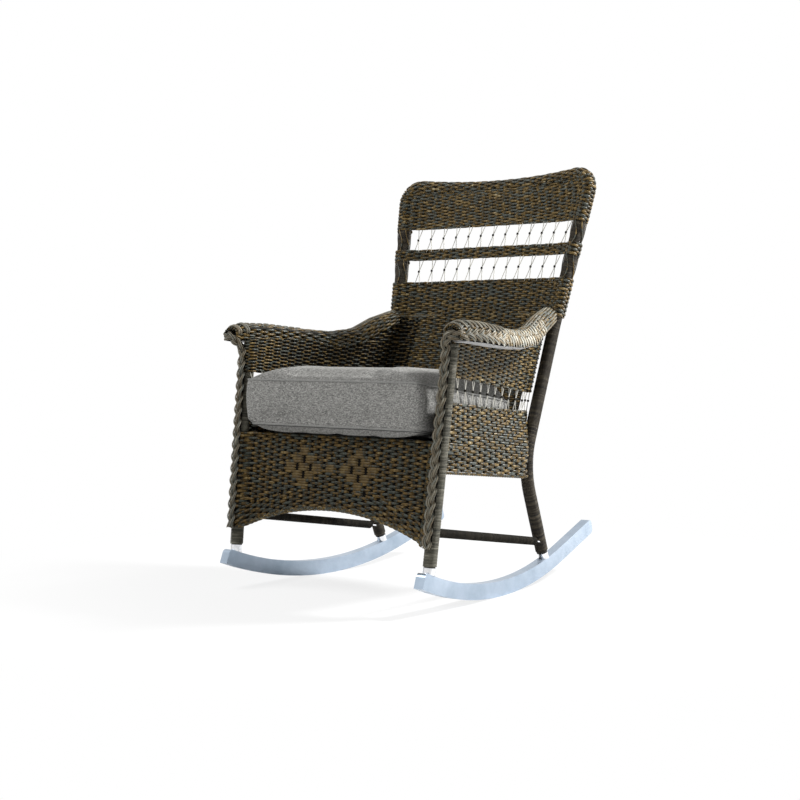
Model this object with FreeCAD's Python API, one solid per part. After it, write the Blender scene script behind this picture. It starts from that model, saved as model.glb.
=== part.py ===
import FreeCAD, Part
import math
import os

# A woven porch rocking chair: a tube frame on two flat bar rockers, wrapped and woven over, with one
# loose seat cushion. Lengths are in millimetres. The floor is Z = 0, the front faces -Y, right is +X,
# and the two sides mirror each other in X = 0. Y = 0 lies midway between the ends of the rockers.

V = FreeCAD.Vector

# Rockers: flat bars on edge, bent to one radius up to a straight tail
rocker_half_length = 412.5
rocker_radius = 1000.0
rocker_contact_y = -56.0
rocker_tail_y = 240.0
rocker_height = 37.0
rocker_width = 24.0
rocker_end_radius = 11.0

# Front legs, by the axis of the tube
front_foot_x = 293.0
front_foot_y = -369.5
front_top_x = 307.5
front_top_y = -304.0

# Rear legs and back posts, one bent tube each, by the axis of the tube
rear_foot_x = 258.0
rear_foot_y = 160.5
bend_x = 261.0
bend_y = 63.5
bend_z = 300.0
bend_radius = 170.0
waist_x = 251.0
waist_y = 218.5
waist_z = 640.0
waist_radius = 250.0
corner_x = 295.5
corner_y = 329.0
corner_z = 1036.0

# Top rail, bent backwards and down in its middle
corner_radius = 44.0
rail_turn = 11.0
rail_tilt = 33.0

# Tube stock and the cord wound round it
tube_radius = 12.7
tube_wall = 1.6
wrap_thickness = 3.3
back_wrap_thickness = 9.0
ferrule_wall = 1.5
ferrule_length = 17.0
plug_length = 26.0
bolt_radius = 4.0
bolt_head_radius = 7.0
bolt_head_height = 5.0
bolt_head_recess = 6.5
bolt_reach = 22.0

# Side stretchers
stretcher_radius = 7.9
stretcher_wall = 1.5
stretcher_wrap = 2.3
stretcher_front_z = 183.0
stretcher_rear_z = 104.0
stretcher_tab_width = 18.0
stretcher_tab_thickness = 3.0
stretcher_tab_length = 13.0

# Woven shell of the body
weave_thickness = 6.0
shell_corner_radius = 45.0
shell_post_gap = 5.0
shell_post_angle = 26.0
back_bow = 15.0
panel_bottom_front_z = 317.0
panel_bottom_rear_z = 281.0
side_band_low_front_z = 470.0
side_band_low_rear_z = 431.0
side_band_high_front_z = 522.0
side_band_high_rear_z = 472.0
panel_top_front_z = 606.0
panel_top_rear_z = 604.0
notch_z = 672.0
back_band_z = [762.0, 821.0, 852.0, 908.0]
edge_rod_radius = 3.5

# Openwork: pairs of thin strands that cross at a knot
strand_width = 2.6
strand_thickness = 2.6
strand_top_spread = 6.5
strand_bottom_spread = 8.0
knot_width = 5.0
knot_height = 5.0
knot_share = 0.55
back_lattice_pitch = 39.0
side_lattice_pitch = 34.0
back_lattice_low_count = 12
back_lattice_high_count = 13
side_lattice_count = 10

# Front skirt with its arched lower edge
skirt_top_z = 382.0
skirt_foot_z = 150.0
skirt_arch_z = 217.0

# Arms
arm_front_y = -345.0
arm_rear_y = 200.0
arm_base_z = 606.0
arm_dip = 18.0
arm_sweep = 50.0
arm_width = 58.0
arm_height = 41.0
arm_inner_overhang = 8.0
arm_plate_thickness = 4.0
arm_plate_inset = 10.0
arm_core_radius = 6.0
arm_core_stations = (1, 7)
arm_station_shares = [0.0, 0.07, 0.21, 0.388, 0.585, 0.74, 0.857, 1.0]
arm_inset_shares = [0.16, 0.03, 0.0, 0.0, 0.0, 0.0, 0.0, 0.0]
arm_width_shares = [0.62, 0.89, 1.0, 1.04, 1.04, 0.99, 0.92, 0.8]
arm_dip_shares = [0.0, 0.06, 0.25, 0.7, 1.0, 0.6, 0.0, 0.0]
arm_sweep_shares = [0.0, 0.0, 0.0, 0.0, 0.0, 0.02, 0.42, 1.0]
arm_height_shares = [0.7, 0.95, 1.0, 0.98, 0.94, 0.95, 0.9, 0.75]
arm_edge_share = 0.62
arm_inner_share = 0.72
arm_plate_stations = (1, 6)

# Plaited edge bands
braid_thickness = 4.5
leg_braid_width = 26.0
leg_braid_thickness = 8.0
arm_braid_drop = 3.0
arm_braid_share = 0.72

# Seat frame and webbing
seat_rail_radius = 11.0
seat_rail_wall = 1.5
seat_front_y = -330.0
seat_front_z = 384.0
seat_rear_y = 50.0
seat_rear_z = 333.0
strap_thickness = 2.0
long_strap_width = 50.0
cross_strap_width = 50.0
long_strap_count = 6
cross_strap_count = 4
strap_end_margin = 6.0
rail_end_gap = 2.4
seat_bracket_radius = 5.5

# Seat cushion
cushion_front_y = -376.0
cushion_rear_y = 83.0
cushion_front_gap = 37.6
cushion_rear_gap = 4.0
cushion_seam_low = 17.0
cushion_seam_high = 122.0
cushion_top_crown = 52.0
cushion_flat_share = 0.55
cushion_dip_share = 0.25
cushion_side_bulge = 5.0
cushion_cover_thickness = 2.5
cushion_station_shares = [0.0, 0.035, 0.22, 0.5, 0.78, 0.93, 1.0]
cushion_inset_shares = [0.035, 0.0, 0.0, 0.0, 0.0, 0.025, 0.12]
cushion_crown_shares = [0.1, 0.4, 0.72, 0.92, 1.0, 0.95, 0.45]
cushion_level_share = 0.45
cushion_shoulder_share = 0.62
cushion_shoulder_rise_share = 0.8
cushion_rest_shares = [0.6, 0.15, 0.0, 0.0, 0.0, 0.15, 0.6]

# Fits
fit = 0.2
touch = 0.3
overrun = 40.0

wrap_radius = tube_radius + wrap_thickness
back_wrap_radius = tube_radius + back_wrap_thickness


def mirrored(shape):
    return shape.mirror(V(0, 0, 0), V(1, 0, 0))


def save(name, shape):
    shape.exportStep("parts/" + name + ".step")


def save_pair(name, shape):
    save(name + "_right", shape)
    save(name + "_left", mirrored(shape))


def mix(start, end, share):
    return start + (end - start) * share


def rod(start, end, radius):
    return Part.makeCylinder(radius, (end - start).Length, start, end - start)


def tube(start, end, radius, wall):
    return rod(start, end, radius).cut(rod(start, end, radius - wall))


def pipe(edges, radius):
    first = edges[0]
    start = first.valueAt(first.FirstParameter)
    ring = Part.makeCircle(radius, start, first.tangentAt(first.FirstParameter))
    return Part.Wire(edges).makePipeShell([Part.Wire([ring])], True, False)


def bent_tube(edges, radius, wall):
    return pipe(edges, radius).cut(pipe(edges, radius - wall))


def line(start, end):
    return Part.LineSegment(start, end).toShape()


def arc(start, middle, end):
    return Part.Arc(start, middle, end).toShape()


def fillet_arc(before, corner, after, radius):
    # the arc that rounds one corner of a route, with its two tangent points
    into = (before - corner).normalize()
    out = (after - corner).normalize()
    half = into.getAngle(out) / 2
    reach = radius / math.tan(half)
    centre = corner + (into + out).normalize() * (radius / math.sin(half))
    middle = centre + (corner - centre).normalize() * radius
    return corner + into * reach, middle, corner + out * reach


def loft(sections, ruled=True):
    return Part.makeLoft(sections, True, ruled)


def polygon(points):
    return Part.makePolygon(points + [points[0]])


def slab(points, direction):
    return Part.Face(polygon(points)).extrude(direction)


def largest(shape):
    return max(shape.Solids, key=lambda solid: solid.Volume)


# Rockers

def rocker_x(y):
    share = (y - front_foot_y) / (rear_foot_y - front_foot_y)
    return mix(front_foot_x, rear_foot_x, share)


rocker_run = V(rear_foot_x - front_foot_x, rear_foot_y - front_foot_y, 0).normalize()
rocker_across = V(rocker_run.y, -rocker_run.x, 0)


rocker_centre = V(rocker_x(rocker_contact_y), rocker_contact_y, rocker_radius)


def rocker_point(y, lift):
    # a point of the bar's middle plane, lift above the arc that it stands on
    reach = rocker_radius - lift
    angle = math.asin((y - rocker_contact_y) / rocker_run.y / reach)
    return rocker_centre + rocker_run * (reach * math.sin(angle)) - V(0, 0, reach * math.cos(angle))


def rocker_top_z(y):
    along = (y - rocker_contact_y) / rocker_run.y
    return rocker_radius - math.sqrt((rocker_radius - rocker_height) ** 2 - along ** 2)


def rounded_end(low, side):
    # the low and the high corner of one end: tangent point, arc's middle, end point, sharp corner
    up = bar_up(low)
    out = up.cross(rocker_across) * side
    high = low + up * (rocker_height - 2 * rocker_end_radius)
    points = []
    for centre, way in ((low, up * -1), (high, up)):
        points.append((
            centre + way * rocker_end_radius,
            centre + (way + out).normalize() * rocker_end_radius,
            centre + out * rocker_end_radius,
            centre + (way + out) * rocker_end_radius,
        ))
    return points


def tail_point(lift):
    # where the straight tail starts
    return rocker_centre + (rocker_point(rocker_tail_y, 0) - rocker_centre).normalize() * (rocker_radius - lift)


def bar_up(point):
    # square to the bar at a point, away from the floor
    if point.y > rocker_tail_y:
        return (rocker_centre - tail_point(0)).normalize()
    return (rocker_centre - point).normalize()


def rocker_end_y(reach):
    # how far from the middle an end's corners are centred, so that the bar ends at its half length
    splay = abs(rocker_across.y) * rocker_width / 2
    return rocker_half_length - reach * rocker_run.y - splay


def rocker_bar(width):
    lean = math.asin((rocker_half_length + rocker_contact_y) / rocker_radius)
    square_reach = rocker_end_radius * (math.cos(lean) + math.sin(lean))
    front_low, front_high = rounded_end(rocker_point(-rocker_end_y(square_reach), rocker_end_radius), -1)
    tail_low, tail_high = tail_point(0), tail_point(rocker_height)
    start = tail_point(rocker_end_radius)
    along = (tail_high - tail_low).cross(rocker_across).normalize()
    tail_length = (rocker_end_y(rocker_end_radius) - start.y) / along.y
    rear_low, rear_high = rounded_end(start + along * tail_length, 1)
    edges = [
        arc(front_low[0], rocker_point(rocker_contact_y, 0), tail_low),
        line(tail_low, rear_low[0]),
        arc(*rear_low[:3]),
        line(rear_low[2], rear_high[2]),
        arc(rear_high[2], rear_high[1], rear_high[0]),
        line(rear_high[0], tail_high),
        arc(tail_high, rocker_point(rocker_contact_y, rocker_height), front_high[0]),
        arc(*front_high[:3]),
        line(front_high[2], front_low[3]),
        line(front_low[3], front_low[0]),
    ]
    face = Part.Face(Part.Wire(edges))
    face.translate(rocker_across * (-width / 2))
    return face.extrude(rocker_across * width)


# Legs

front_foot = V(front_foot_x, front_foot_y, rocker_top_z(front_foot_y))
rear_foot = V(rear_foot_x, rear_foot_y, rocker_top_z(rear_foot_y))
bend = V(bend_x, bend_y, bend_z)
waist = V(waist_x, waist_y, waist_z)
post_corner = V(corner_x, corner_y, corner_z)


def arm_station_y(index):
    return mix(arm_front_y, arm_rear_y, arm_station_shares[index])


def arm_station_z(index):
    return arm_base_z - arm_dip * arm_dip_shares[index] + arm_sweep * arm_sweep_shares[index]


def arm_z(y):
    for index in range(len(arm_station_shares) - 1):
        low, high = arm_station_y(index), arm_station_y(index + 1)
        if y <= high:
            return mix(arm_station_z(index), arm_station_z(index + 1), (y - low) / (high - low))
    return arm_station_z(len(arm_station_shares) - 1)


# the top of a leaning leg stays under the plate of the arm at every point of its rim
leg_rim_rise = wrap_radius * (front_top_y - front_foot_y) / (arm_base_z - front_foot.z)
leg_rim_arm_z = min(arm_z(front_top_y - wrap_radius), arm_z(front_top_y + wrap_radius))
front_top = V(front_top_x, front_top_y, leg_rim_arm_z - arm_plate_thickness - leg_rim_rise - 2 * touch)


def front_leg_at(z):
    return mix(front_foot, front_top, (z - front_foot.z) / (front_top.z - front_foot.z))


def post_at(z):
    if z < bend_z:
        return mix(rear_foot, bend, (z - rear_foot.z) / (bend.z - rear_foot.z))
    if z < waist_z:
        return mix(bend, waist, (z - bend.z) / (waist.z - bend.z))
    return mix(waist, post_corner, (z - waist.z) / (post_corner.z - waist.z))


def foot_cut(shape):
    return shape.cut(rocker_bar(rocker_width + 4 * wrap_radius))


def leg_axis_below(top, foot, length):
    return foot - (top - foot).normalize() * length


def front_leg_tube():
    start = leg_axis_below(front_top, front_foot, rocker_height / 2)
    return largest(foot_cut(tube(start, front_top, tube_radius, tube_wall)))


def front_leg_wrap():
    start = front_foot + (front_top - front_foot).normalize() * ferrule_length
    end = front_top - (front_top - front_foot).normalize() * touch
    return rod(start, end, wrap_radius).cut(rod(start, end, tube_radius))


def ferrule(foot, top):
    start = leg_axis_below(top, foot, rocker_height / 2)
    end = foot + (top - foot).normalize() * (ferrule_length - touch)
    ring = rod(start, end, tube_radius + ferrule_wall).cut(rod(start, end, tube_radius + fit / 2))
    return largest(foot_cut(ring))


def leg_plug(foot, top):
    start = leg_axis_below(top, foot, rocker_height / 2)
    end = foot + (top - foot).normalize() * plug_length
    body = rod(start, end, tube_radius - tube_wall - fit / 2).cut(rod(start, end, bolt_radius + fit / 2))
    return largest(foot_cut(body))


def bolt_axis(foot, top):
    # from the foot down to the underside of the bar, along the leg
    up = (top - foot).normalize()
    depth = rocker_height / abs(up.z)
    return up, foot - up * depth


def rocker_bolt(foot, top):
    up, under = bolt_axis(foot, top)
    head_end = under + up * (bolt_head_recess + bolt_head_height)
    head = rod(under + up * bolt_head_recess, head_end, bolt_head_radius)
    return head.fuse(rod(head_end, foot + up * bolt_reach, bolt_radius))


def bolt_hole(foot, top):
    up, under = bolt_axis(foot, top)
    head_end = under + up * (bolt_head_recess + bolt_head_height + touch)
    head = rod(under - up * overrun, head_end, bolt_head_radius + fit)
    return head.fuse(rod(head_end, foot + up * overrun, bolt_radius + fit))


def rocker():
    bar = rocker_bar(rocker_width)
    return bar.cut(bolt_hole(front_foot, front_top)).cut(bolt_hole(rear_foot, bend))


# Rear leg and back post, and the top rail that joins the two posts

rail_axis = V(0, math.cos(math.radians(rail_tilt)), -math.sin(math.radians(rail_tilt)))
rail_start_run = V(-math.cos(math.radians(rail_turn)), 0, 0) + rail_axis * math.sin(math.radians(rail_turn))


def rail_corner():
    post_side = post_corner + (waist - post_corner).normalize() * corner_x
    return fillet_arc(post_side, post_corner, post_corner + rail_start_run * corner_x, corner_radius)


def rail_edges():
    down, nose, start = rail_corner()
    mirror_start = V(-start.x, start.y, start.z)
    sag = start.x * math.tan(math.radians(rail_turn) / 2)
    middle = V(0, start.y, start.z) + rail_axis * sag
    return [
        arc(down, nose, start),
        arc(start, middle, mirror_start),
        arc(mirror_start, V(-nose.x, nose.y, nose.z), V(-down.x, down.y, down.z)),
    ]


def post_edges(start, end):
    knee = fillet_arc(rear_foot, bend, waist, bend_radius)
    turn = fillet_arc(bend, waist, post_corner, waist_radius)
    return [line(start, knee[0]), arc(*knee), line(knee[2], turn[0]), arc(*turn), line(turn[2], end)]


def back_post_tube():
    start = leg_axis_below(bend, rear_foot, rocker_height / 2)
    end = rail_corner()[0]
    body = bent_tube(post_edges(start, end), tube_radius, tube_wall)
    return largest(foot_cut(body))


def rear_leg_wrap():
    start = rear_foot + (bend - rear_foot).normalize() * ferrule_length
    end = post_at(notch_z)
    edges = post_edges(start, end)
    return pipe(edges, wrap_radius).cut(pipe(edges, tube_radius))


def back_post_wrap():
    # the weave of the back goes round the post here, so that this wrap is the thicker one
    up = (post_corner - waist).normalize()
    start = post_at(notch_z) + up * touch
    end = rail_corner()[0] - up * touch
    return rod(start, end, back_wrap_radius).cut(rod(start, end, tube_radius))


def top_rail_tube():
    return bent_tube(rail_edges(), tube_radius, tube_wall)


def top_rail_wrap():
    return pipe(rail_edges(), back_wrap_radius).cut(pipe(rail_edges(), tube_radius))


def front_leg_space(margin):
    start = leg_axis_below(front_top, front_foot, overrun)
    return rod(start, front_top, wrap_radius + margin)


def rear_leg_space(margin):
    edges = post_edges(leg_axis_below(bend, rear_foot, overrun), rail_corner()[0])
    post = rod(post_at(notch_z), rail_corner()[0], back_wrap_radius + margin)
    return pipe(edges, wrap_radius + margin).fuse(post)


# Side stretchers

def stretcher_ends():
    front = front_leg_at(stretcher_front_z)
    rear = post_at(stretcher_rear_z)
    return front, rear


def stretcher_tube():
    front, rear = stretcher_ends()
    back_off = (rear - front).normalize() * (wrap_radius + stretcher_tab_length)
    body = tube(front, rear - back_off, stretcher_radius, stretcher_wall)
    return largest(body.cut(front_leg_space(touch)))


def stretcher_wrap_sleeve():
    front, rear = stretcher_ends()
    back_off = (rear - front).normalize() * (wrap_radius + stretcher_tab_length + touch)
    end = rear - back_off
    sleeve = rod(front, end, stretcher_radius + stretcher_wrap).cut(rod(front, end, stretcher_radius))
    return largest(sleeve.cut(front_leg_space(touch)))


def stretcher_tab():
    # the bare flattened end of the stretcher, seated on the rear leg
    front, rear = stretcher_ends()
    run = (rear - front).normalize()
    start = rear - run * (wrap_radius + stretcher_tab_length + stretcher_radius)
    across = run.cross(V(0, 0, 1)).normalize() * stretcher_tab_width
    up = across.cross(run).normalize() * stretcher_tab_thickness
    corner = start - across / 2 - up / 2
    body = slab([corner, corner + across, corner + across + up, corner + up], rear - start)
    inside = rod(front, start + run * stretcher_radius, stretcher_radius - stretcher_wall - fit)
    outside = rod(front, start + run * (stretcher_radius + touch), wrap_radius * 2)
    beyond = body.cut(outside)
    within = body.common(inside)
    return largest(beyond.fuse(within).removeSplitter().cut(rear_leg_space(touch)))


# Woven shell: side panels that turn inside the rear legs into the back

shell_post_reach = shell_corner_radius + weave_thickness / 2 + wrap_radius + shell_post_gap


def shell_corner_centre(z):
    angle = math.radians(shell_post_angle)
    post = post_at(z)
    return V(post.x - shell_post_reach * math.cos(angle), post.y - shell_post_reach * math.sin(angle), z)


def panel_front(z):
    leg = front_leg_at(z)
    return V(leg.x, leg.y + wrap_radius + touch, z)


def panel_rear(z):
    return shell_corner_centre(z) + V(shell_corner_radius, 0, 0)


def panel_x(y, z):
    front, rear = panel_front(z), panel_rear(z)
    return mix(front.x, rear.x, (y - front.y) / (rear.y - front.y))


def corner_section(z):
    centre = shell_corner_centre(z)
    slant = V(math.cos(math.pi / 4), math.sin(math.pi / 4), 0)
    rings = []
    for radius in (shell_corner_radius - weave_thickness / 2, shell_corner_radius + weave_thickness / 2):
        rings.append((centre + V(radius, 0, 0), centre + slant * radius, centre + V(0, radius, 0)))
    inner, outer = rings
    edges = [arc(*inner), line(inner[2], outer[2]), arc(outer[2], outer[1], outer[0]), line(outer[0], inner[0])]
    return Part.Wire(edges)


def panel_end(low, high):
    half = V(weave_thickness / 2, 0, 0)
    return polygon([low - half, low + half, high + half, high - half])


def side_panel(front_low_z, front_high_z, rear_low_z, rear_high_z):
    front = panel_end(panel_front(front_low_z), panel_front(front_high_z))
    rear = panel_end(panel_rear(rear_low_z), panel_rear(rear_high_z))
    flat = loft([front, rear])
    levels = [z for z in shell_levels() if rear_low_z <= z <= rear_high_z]
    corner = loft([corner_section(z) for z in levels])
    return flat.fuse(corner)


def shell_levels():
    return [panel_bottom_rear_z, side_band_low_rear_z, side_band_high_rear_z, panel_top_rear_z, notch_z]


def side_panel_lower():
    body = side_panel(panel_bottom_front_z, side_band_low_front_z, panel_bottom_rear_z, side_band_low_rear_z)
    return body.cut(seat_bracket(fit))


def side_panel_upper():
    body = side_panel(side_band_high_front_z, panel_top_front_z, side_band_high_rear_z, panel_top_rear_z)
    wing = loft([corner_section(panel_top_rear_z), corner_section(notch_z)])
    body = body.fuse(wing)
    return largest(body.cut(arm_blank(0)).cut(rear_leg_space(touch)))


def back_y(x, z):
    # the back is one shallow arc in plan, met by the corners of the side panels
    centre = shell_corner_centre(z)
    radius = (centre.x ** 2 + back_bow ** 2) / (2 * back_bow)
    deepest = centre.y + shell_corner_radius + back_bow
    return deepest - radius + math.sqrt(radius ** 2 - x ** 2)


def back_section(z, half_width):
    half = weave_thickness / 2
    points = []
    for x in (-half_width, 0, half_width):
        points.append(V(x, back_y(x, z), z))
    near = [point - V(0, half, 0) for point in points]
    far = [point + V(0, half, 0) for point in points]
    edges = [arc(*near), line(near[2], far[2]), arc(far[2], far[1], far[0]), line(far[0], near[0])]
    return Part.Wire(edges)


def upper_half_width(z):
    return post_at(z).x - back_wrap_radius - touch


def back_panel_upper(low_z, high_z):
    return loft([back_section(z, upper_half_width(z)) for z in (low_z, high_z)])


def back_panel_lower():
    low = loft([back_section(z, shell_corner_centre(z).x) for z in shell_levels()])
    high = back_panel_upper(notch_z, back_band_z[0])
    return low.fuse(high)


def back_panel_top():
    tall = back_panel_upper(back_band_z[3], corner_z)
    return largest(tall.cut(pipe(rail_edges(), back_wrap_radius + touch)))


# Openwork bands

def lattice_unit(low, high, across):
    up = high - low
    height = up.Length
    up = up.normalize()
    face_way = across.cross(up).normalize()
    half = strand_width / 2
    knot = height * knot_share
    outline = [
        (-strand_top_spread - half, height), (-strand_top_spread + half, height), (0, knot + knot_height / 2),
        (strand_top_spread - half, height), (strand_top_spread + half, height), (knot_width / 2, knot),
        (strand_bottom_spread + half, 0), (strand_bottom_spread - half, 0), (0, knot - knot_height / 2),
        (-strand_bottom_spread + half, 0), (-strand_bottom_spread - half, 0), (-knot_width / 2, knot),
    ]
    points = [low + across * u + up * v - face_way * (strand_thickness / 2) for u, v in outline]
    return slab(points, face_way * strand_thickness)


def back_lattice(low_z, high_z, count):
    units = []
    low_z = low_z + 2 * touch
    high_z = high_z - 2 * touch
    spread = upper_half_width(high_z) / upper_half_width(low_z)
    for index in range(count):
        x = (index - (count - 1) / 2) * back_lattice_pitch
        low = V(x, back_y(x, low_z), low_z)
        high = V(x * spread, back_y(x * spread, high_z), high_z)
        step = V(strand_width, back_y(x + strand_width, low_z) - back_y(x, low_z), 0)
        units.append(lattice_unit(low, high, step.normalize()))
    return Part.makeCompound(units)


def side_lattice():
    units = []
    start = panel_front(side_band_low_front_z)
    end = panel_rear(side_band_low_rear_z)
    run = end - start
    margin = (run.Length - side_lattice_pitch * (side_lattice_count - 1)) / 2
    for index in range(side_lattice_count):
        share = (margin + index * side_lattice_pitch) / run.Length
        low = mix(start, end, share)
        top_start = panel_front(side_band_high_front_z)
        top_end = panel_rear(side_band_high_rear_z)
        high = mix(top_start, top_end, share)
        lift = (high - low).normalize() * touch
        units.append(lattice_unit(low + lift, high - lift * 2, (end - start).normalize()))
    return Part.makeCompound(units)


# Front skirt

def skirt_point(x, z):
    return V(x, front_leg_at(z).y, z)


def skirt_panel():
    reach = front_leg_at(skirt_foot_z).x
    wide = front_leg_at(skirt_top_z).x
    half = V(0, weave_thickness / 2, 0)
    arch = arc(skirt_point(reach, skirt_foot_z), skirt_point(0, skirt_arch_z), skirt_point(-reach, skirt_foot_z))
    edges = [
        arch,
        line(skirt_point(-reach, skirt_foot_z), skirt_point(-wide, skirt_top_z)),
        line(skirt_point(-wide, skirt_top_z), skirt_point(wide, skirt_top_z)),
        line(skirt_point(wide, skirt_top_z), skirt_point(reach, skirt_foot_z)),
    ]
    face = Part.Face(Part.Wire(edges))
    face.translate(half * -1)
    body = face.extrude(half * 2)
    leg = front_leg_space(touch)
    return largest(body.cut(leg).cut(mirrored(leg)))


def skirt_rod():
    drop = edge_rod_radius + touch
    reach = front_leg_at(skirt_foot_z - drop).x
    ends = [skirt_point(side * reach, skirt_foot_z - drop) for side in (1, -1)]
    body = pipe([arc(ends[0], skirt_point(0, skirt_arch_z - drop), ends[1])], edge_rod_radius)
    leg = front_leg_space(touch)
    return largest(body.cut(leg).cut(mirrored(leg)))


def panel_bottom_rod():
    drop = V(0, 0, edge_rod_radius + touch)
    start = panel_front(panel_bottom_front_z) - drop
    end = panel_rear(panel_bottom_rear_z) - drop
    return rod(start, end, edge_rod_radius)


def back_bottom_rod():
    z = panel_bottom_rear_z - edge_rod_radius - touch
    reach = shell_corner_centre(z).x
    points = [V(x, back_y(x, z), z) for x in (-reach, 0, reach)]
    return pipe([arc(*points)], edge_rod_radius)


# Arms

def arm_inner_x(index):
    # the front end of the arm is rounded off on its inner side
    return panel_x(arm_station_y(index), arm_base_z) - arm_inner_overhang + arm_width * arm_inset_shares[index]


def arm_outer_x(index):
    return arm_inner_x(index) + arm_width * arm_width_shares[index]


def arm_section(index, margin):
    y = arm_station_y(index)
    inner, outer = arm_inner_x(index) - margin, arm_outer_x(index) + margin
    low = arm_station_z(index) - margin
    height = arm_height * arm_height_shares[index] + margin * 2
    outer_top = V(outer, y, low + height * arm_edge_share)
    inner_top = V(inner, y, low + height * arm_inner_share)
    crown = V((inner + outer) / 2, y, low + height)
    edges = [
        line(V(inner, y, low), V(outer, y, low)),
        line(V(outer, y, low), outer_top),
        arc(outer_top, crown, inner_top),
        line(inner_top, V(inner, y, low)),
    ]
    return Part.Wire(edges)


def arm_body(margin):
    return loft([arm_section(index, margin) for index in range(len(arm_station_shares))])


def arm_plate_section(index, margin):
    y = arm_station_y(index)
    low = arm_station_z(index) - touch - arm_plate_thickness
    high = arm_station_z(index) - touch
    inner, outer = arm_inner_x(index) + arm_plate_inset, arm_outer_x(index) - arm_plate_inset
    return polygon([
        V(inner - margin, y, low - margin), V(outer + margin, y, low - margin),
        V(outer + margin, y, high + margin), V(inner - margin, y, high + margin),
    ])


def arm_plate_body(margin):
    first, last = arm_plate_stations
    return loft([arm_plate_section(index, margin) for index in range(first, last)])


def arm_blank(margin):
    return arm_body(margin).fuse(arm_plate_body(touch))


def arm_core(radius):
    # a bent rod that follows the middle of the arm: straight runs with round knuckles between them
    points = []
    for index in range(*arm_core_stations):
        middle = (arm_inner_x(index) + arm_outer_x(index)) / 2
        z = arm_station_z(index) + arm_height * arm_height_shares[index] / 2
        points.append(V(middle, arm_station_y(index), z))
    runs = [rod(start, end, radius) for start, end in zip(points, points[1:])]
    return runs + [Part.makeSphere(radius, point) for point in points[1:-1]]


def arm_core_rod():
    runs = arm_core(arm_core_radius)
    return runs[0].multiFuse(runs[1:])


def arm_weave():
    body = arm_body(0)
    for run in arm_core(arm_core_radius + fit):
        body = body.cut(run)
    return largest(body.cut(rear_leg_space(touch)))


def arm_plate():
    return arm_plate_body(0)


def arm_braid_section(index):
    y = arm_station_y(index)
    low = arm_station_z(index) - arm_braid_drop
    high = arm_station_z(index) + arm_height * arm_height_shares[index] * arm_braid_share
    inner = arm_outer_x(index) + touch
    outer = inner + braid_thickness
    return polygon([V(inner, y, low), V(outer, y, low), V(outer, y, high), V(inner, y, high)])


def arm_braid():
    side = loft([arm_braid_section(index) for index in range(len(arm_station_shares))])
    y = arm_station_y(0) - touch
    low = arm_station_z(0) - arm_braid_drop
    high = arm_station_z(0) + arm_height * arm_height_shares[0] * arm_braid_share
    inner = arm_inner_x(0)
    outer = arm_outer_x(0) + touch + braid_thickness
    front = slab([V(inner, y, low), V(outer, y, low), V(outer, y, high), V(inner, y, high)], V(0, -braid_thickness, 0))
    link = slab([
        V(arm_outer_x(0) + touch, y, low), V(outer, y, low), V(outer, y, high), V(arm_outer_x(0) + touch, y, high),
    ], V(0, touch, 0))
    return largest(side.fuse(link).fuse(front).cut(rear_leg_space(touch)))


def leg_braid():
    low = front_leg_at(skirt_foot_z)
    high = front_leg_at(front_top.z - touch)
    ahead = V(0, -wrap_radius - touch * 2 - leg_braid_thickness, 0)
    left = V(-leg_braid_width / 2, 0, 0)
    right = V(leg_braid_width / 2, 0, 0)
    points = [low + ahead + left, low + ahead + right, high + ahead + right, high + ahead + left]
    return slab(points, V(0, leg_braid_thickness, 0))


# Seat frame: rails on the legs and straps over them, all on one sloping plane

def seat_z(y):
    return mix(seat_front_z, seat_rear_z, (y - seat_front_y) / (seat_rear_y - seat_front_y))


def seat_rail_front_axis():
    y = front_leg_at(seat_front_z).y + weave_thickness / 2 + touch + seat_rail_radius
    z = seat_z(y) - strap_thickness - touch - seat_rail_radius
    x = front_leg_at(z).x
    return V(x, y, z)


def seat_rail_rear_axis():
    y = seat_rear_y
    z = seat_z(y) - strap_thickness - touch - seat_rail_radius
    return V(panel_x(y, z), y, z)


def side_rail_axis():
    inward = V(seat_rail_radius + weave_thickness / 2 + 2 * touch, 0, 0)
    low = V(0, 0, strap_thickness + touch)
    front = seat_rail_front_axis()
    front = V(panel_x(front.y, front.z), front.y, front.z) - inward - low
    rear = seat_rail_rear_axis() - inward - low
    return front, rear


def front_seat_rail():
    end = seat_rail_front_axis()
    start = V(-end.x, end.y, end.z)
    leg = front_leg_space(touch)
    side_front = side_rail_axis()[0]
    clear = V(side_front.x + seat_rail_radius - rail_end_gap, 0, 0)
    body = tube(start, end, seat_rail_radius, seat_rail_wall)
    body = body.cut(leg).cut(mirrored(leg))
    trim = Part.makeBox(2 * clear.x, overrun * 2, overrun * 2, V(-clear.x, end.y - overrun, end.z - overrun))
    return largest(body.common(trim))


def side_seat_rail():
    front, rear = side_rail_axis()
    run = (rear - front).normalize()
    reach = seat_rail_radius + rail_end_gap
    return tube(front + run * reach, rear - run * reach, seat_rail_radius, seat_rail_wall)


def rear_rail_half():
    return side_rail_axis()[1].x + seat_rail_radius


def rear_seat_rail():
    end = seat_rail_rear_axis()
    half = rear_rail_half()
    return tube(V(-half, end.y, end.z), V(half, end.y, end.z), seat_rail_radius, seat_rail_wall)


def seat_bracket(margin):
    # the pin that carries the end of the rear rail on the rear leg, through the weave
    end = seat_rail_rear_axis()
    start = V(rear_rail_half() - seat_rail_radius, end.y, end.z)
    post = V(post_at(end.z).x, post_at(end.z).y, end.z)
    body = rod(start, post, seat_bracket_radius + margin)
    rail = rod(V(0, end.y, end.z), V(rear_rail_half() + touch, end.y, end.z), seat_rail_radius + touch)
    return largest(body.cut(rail).cut(rear_leg_space(touch)))


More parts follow.
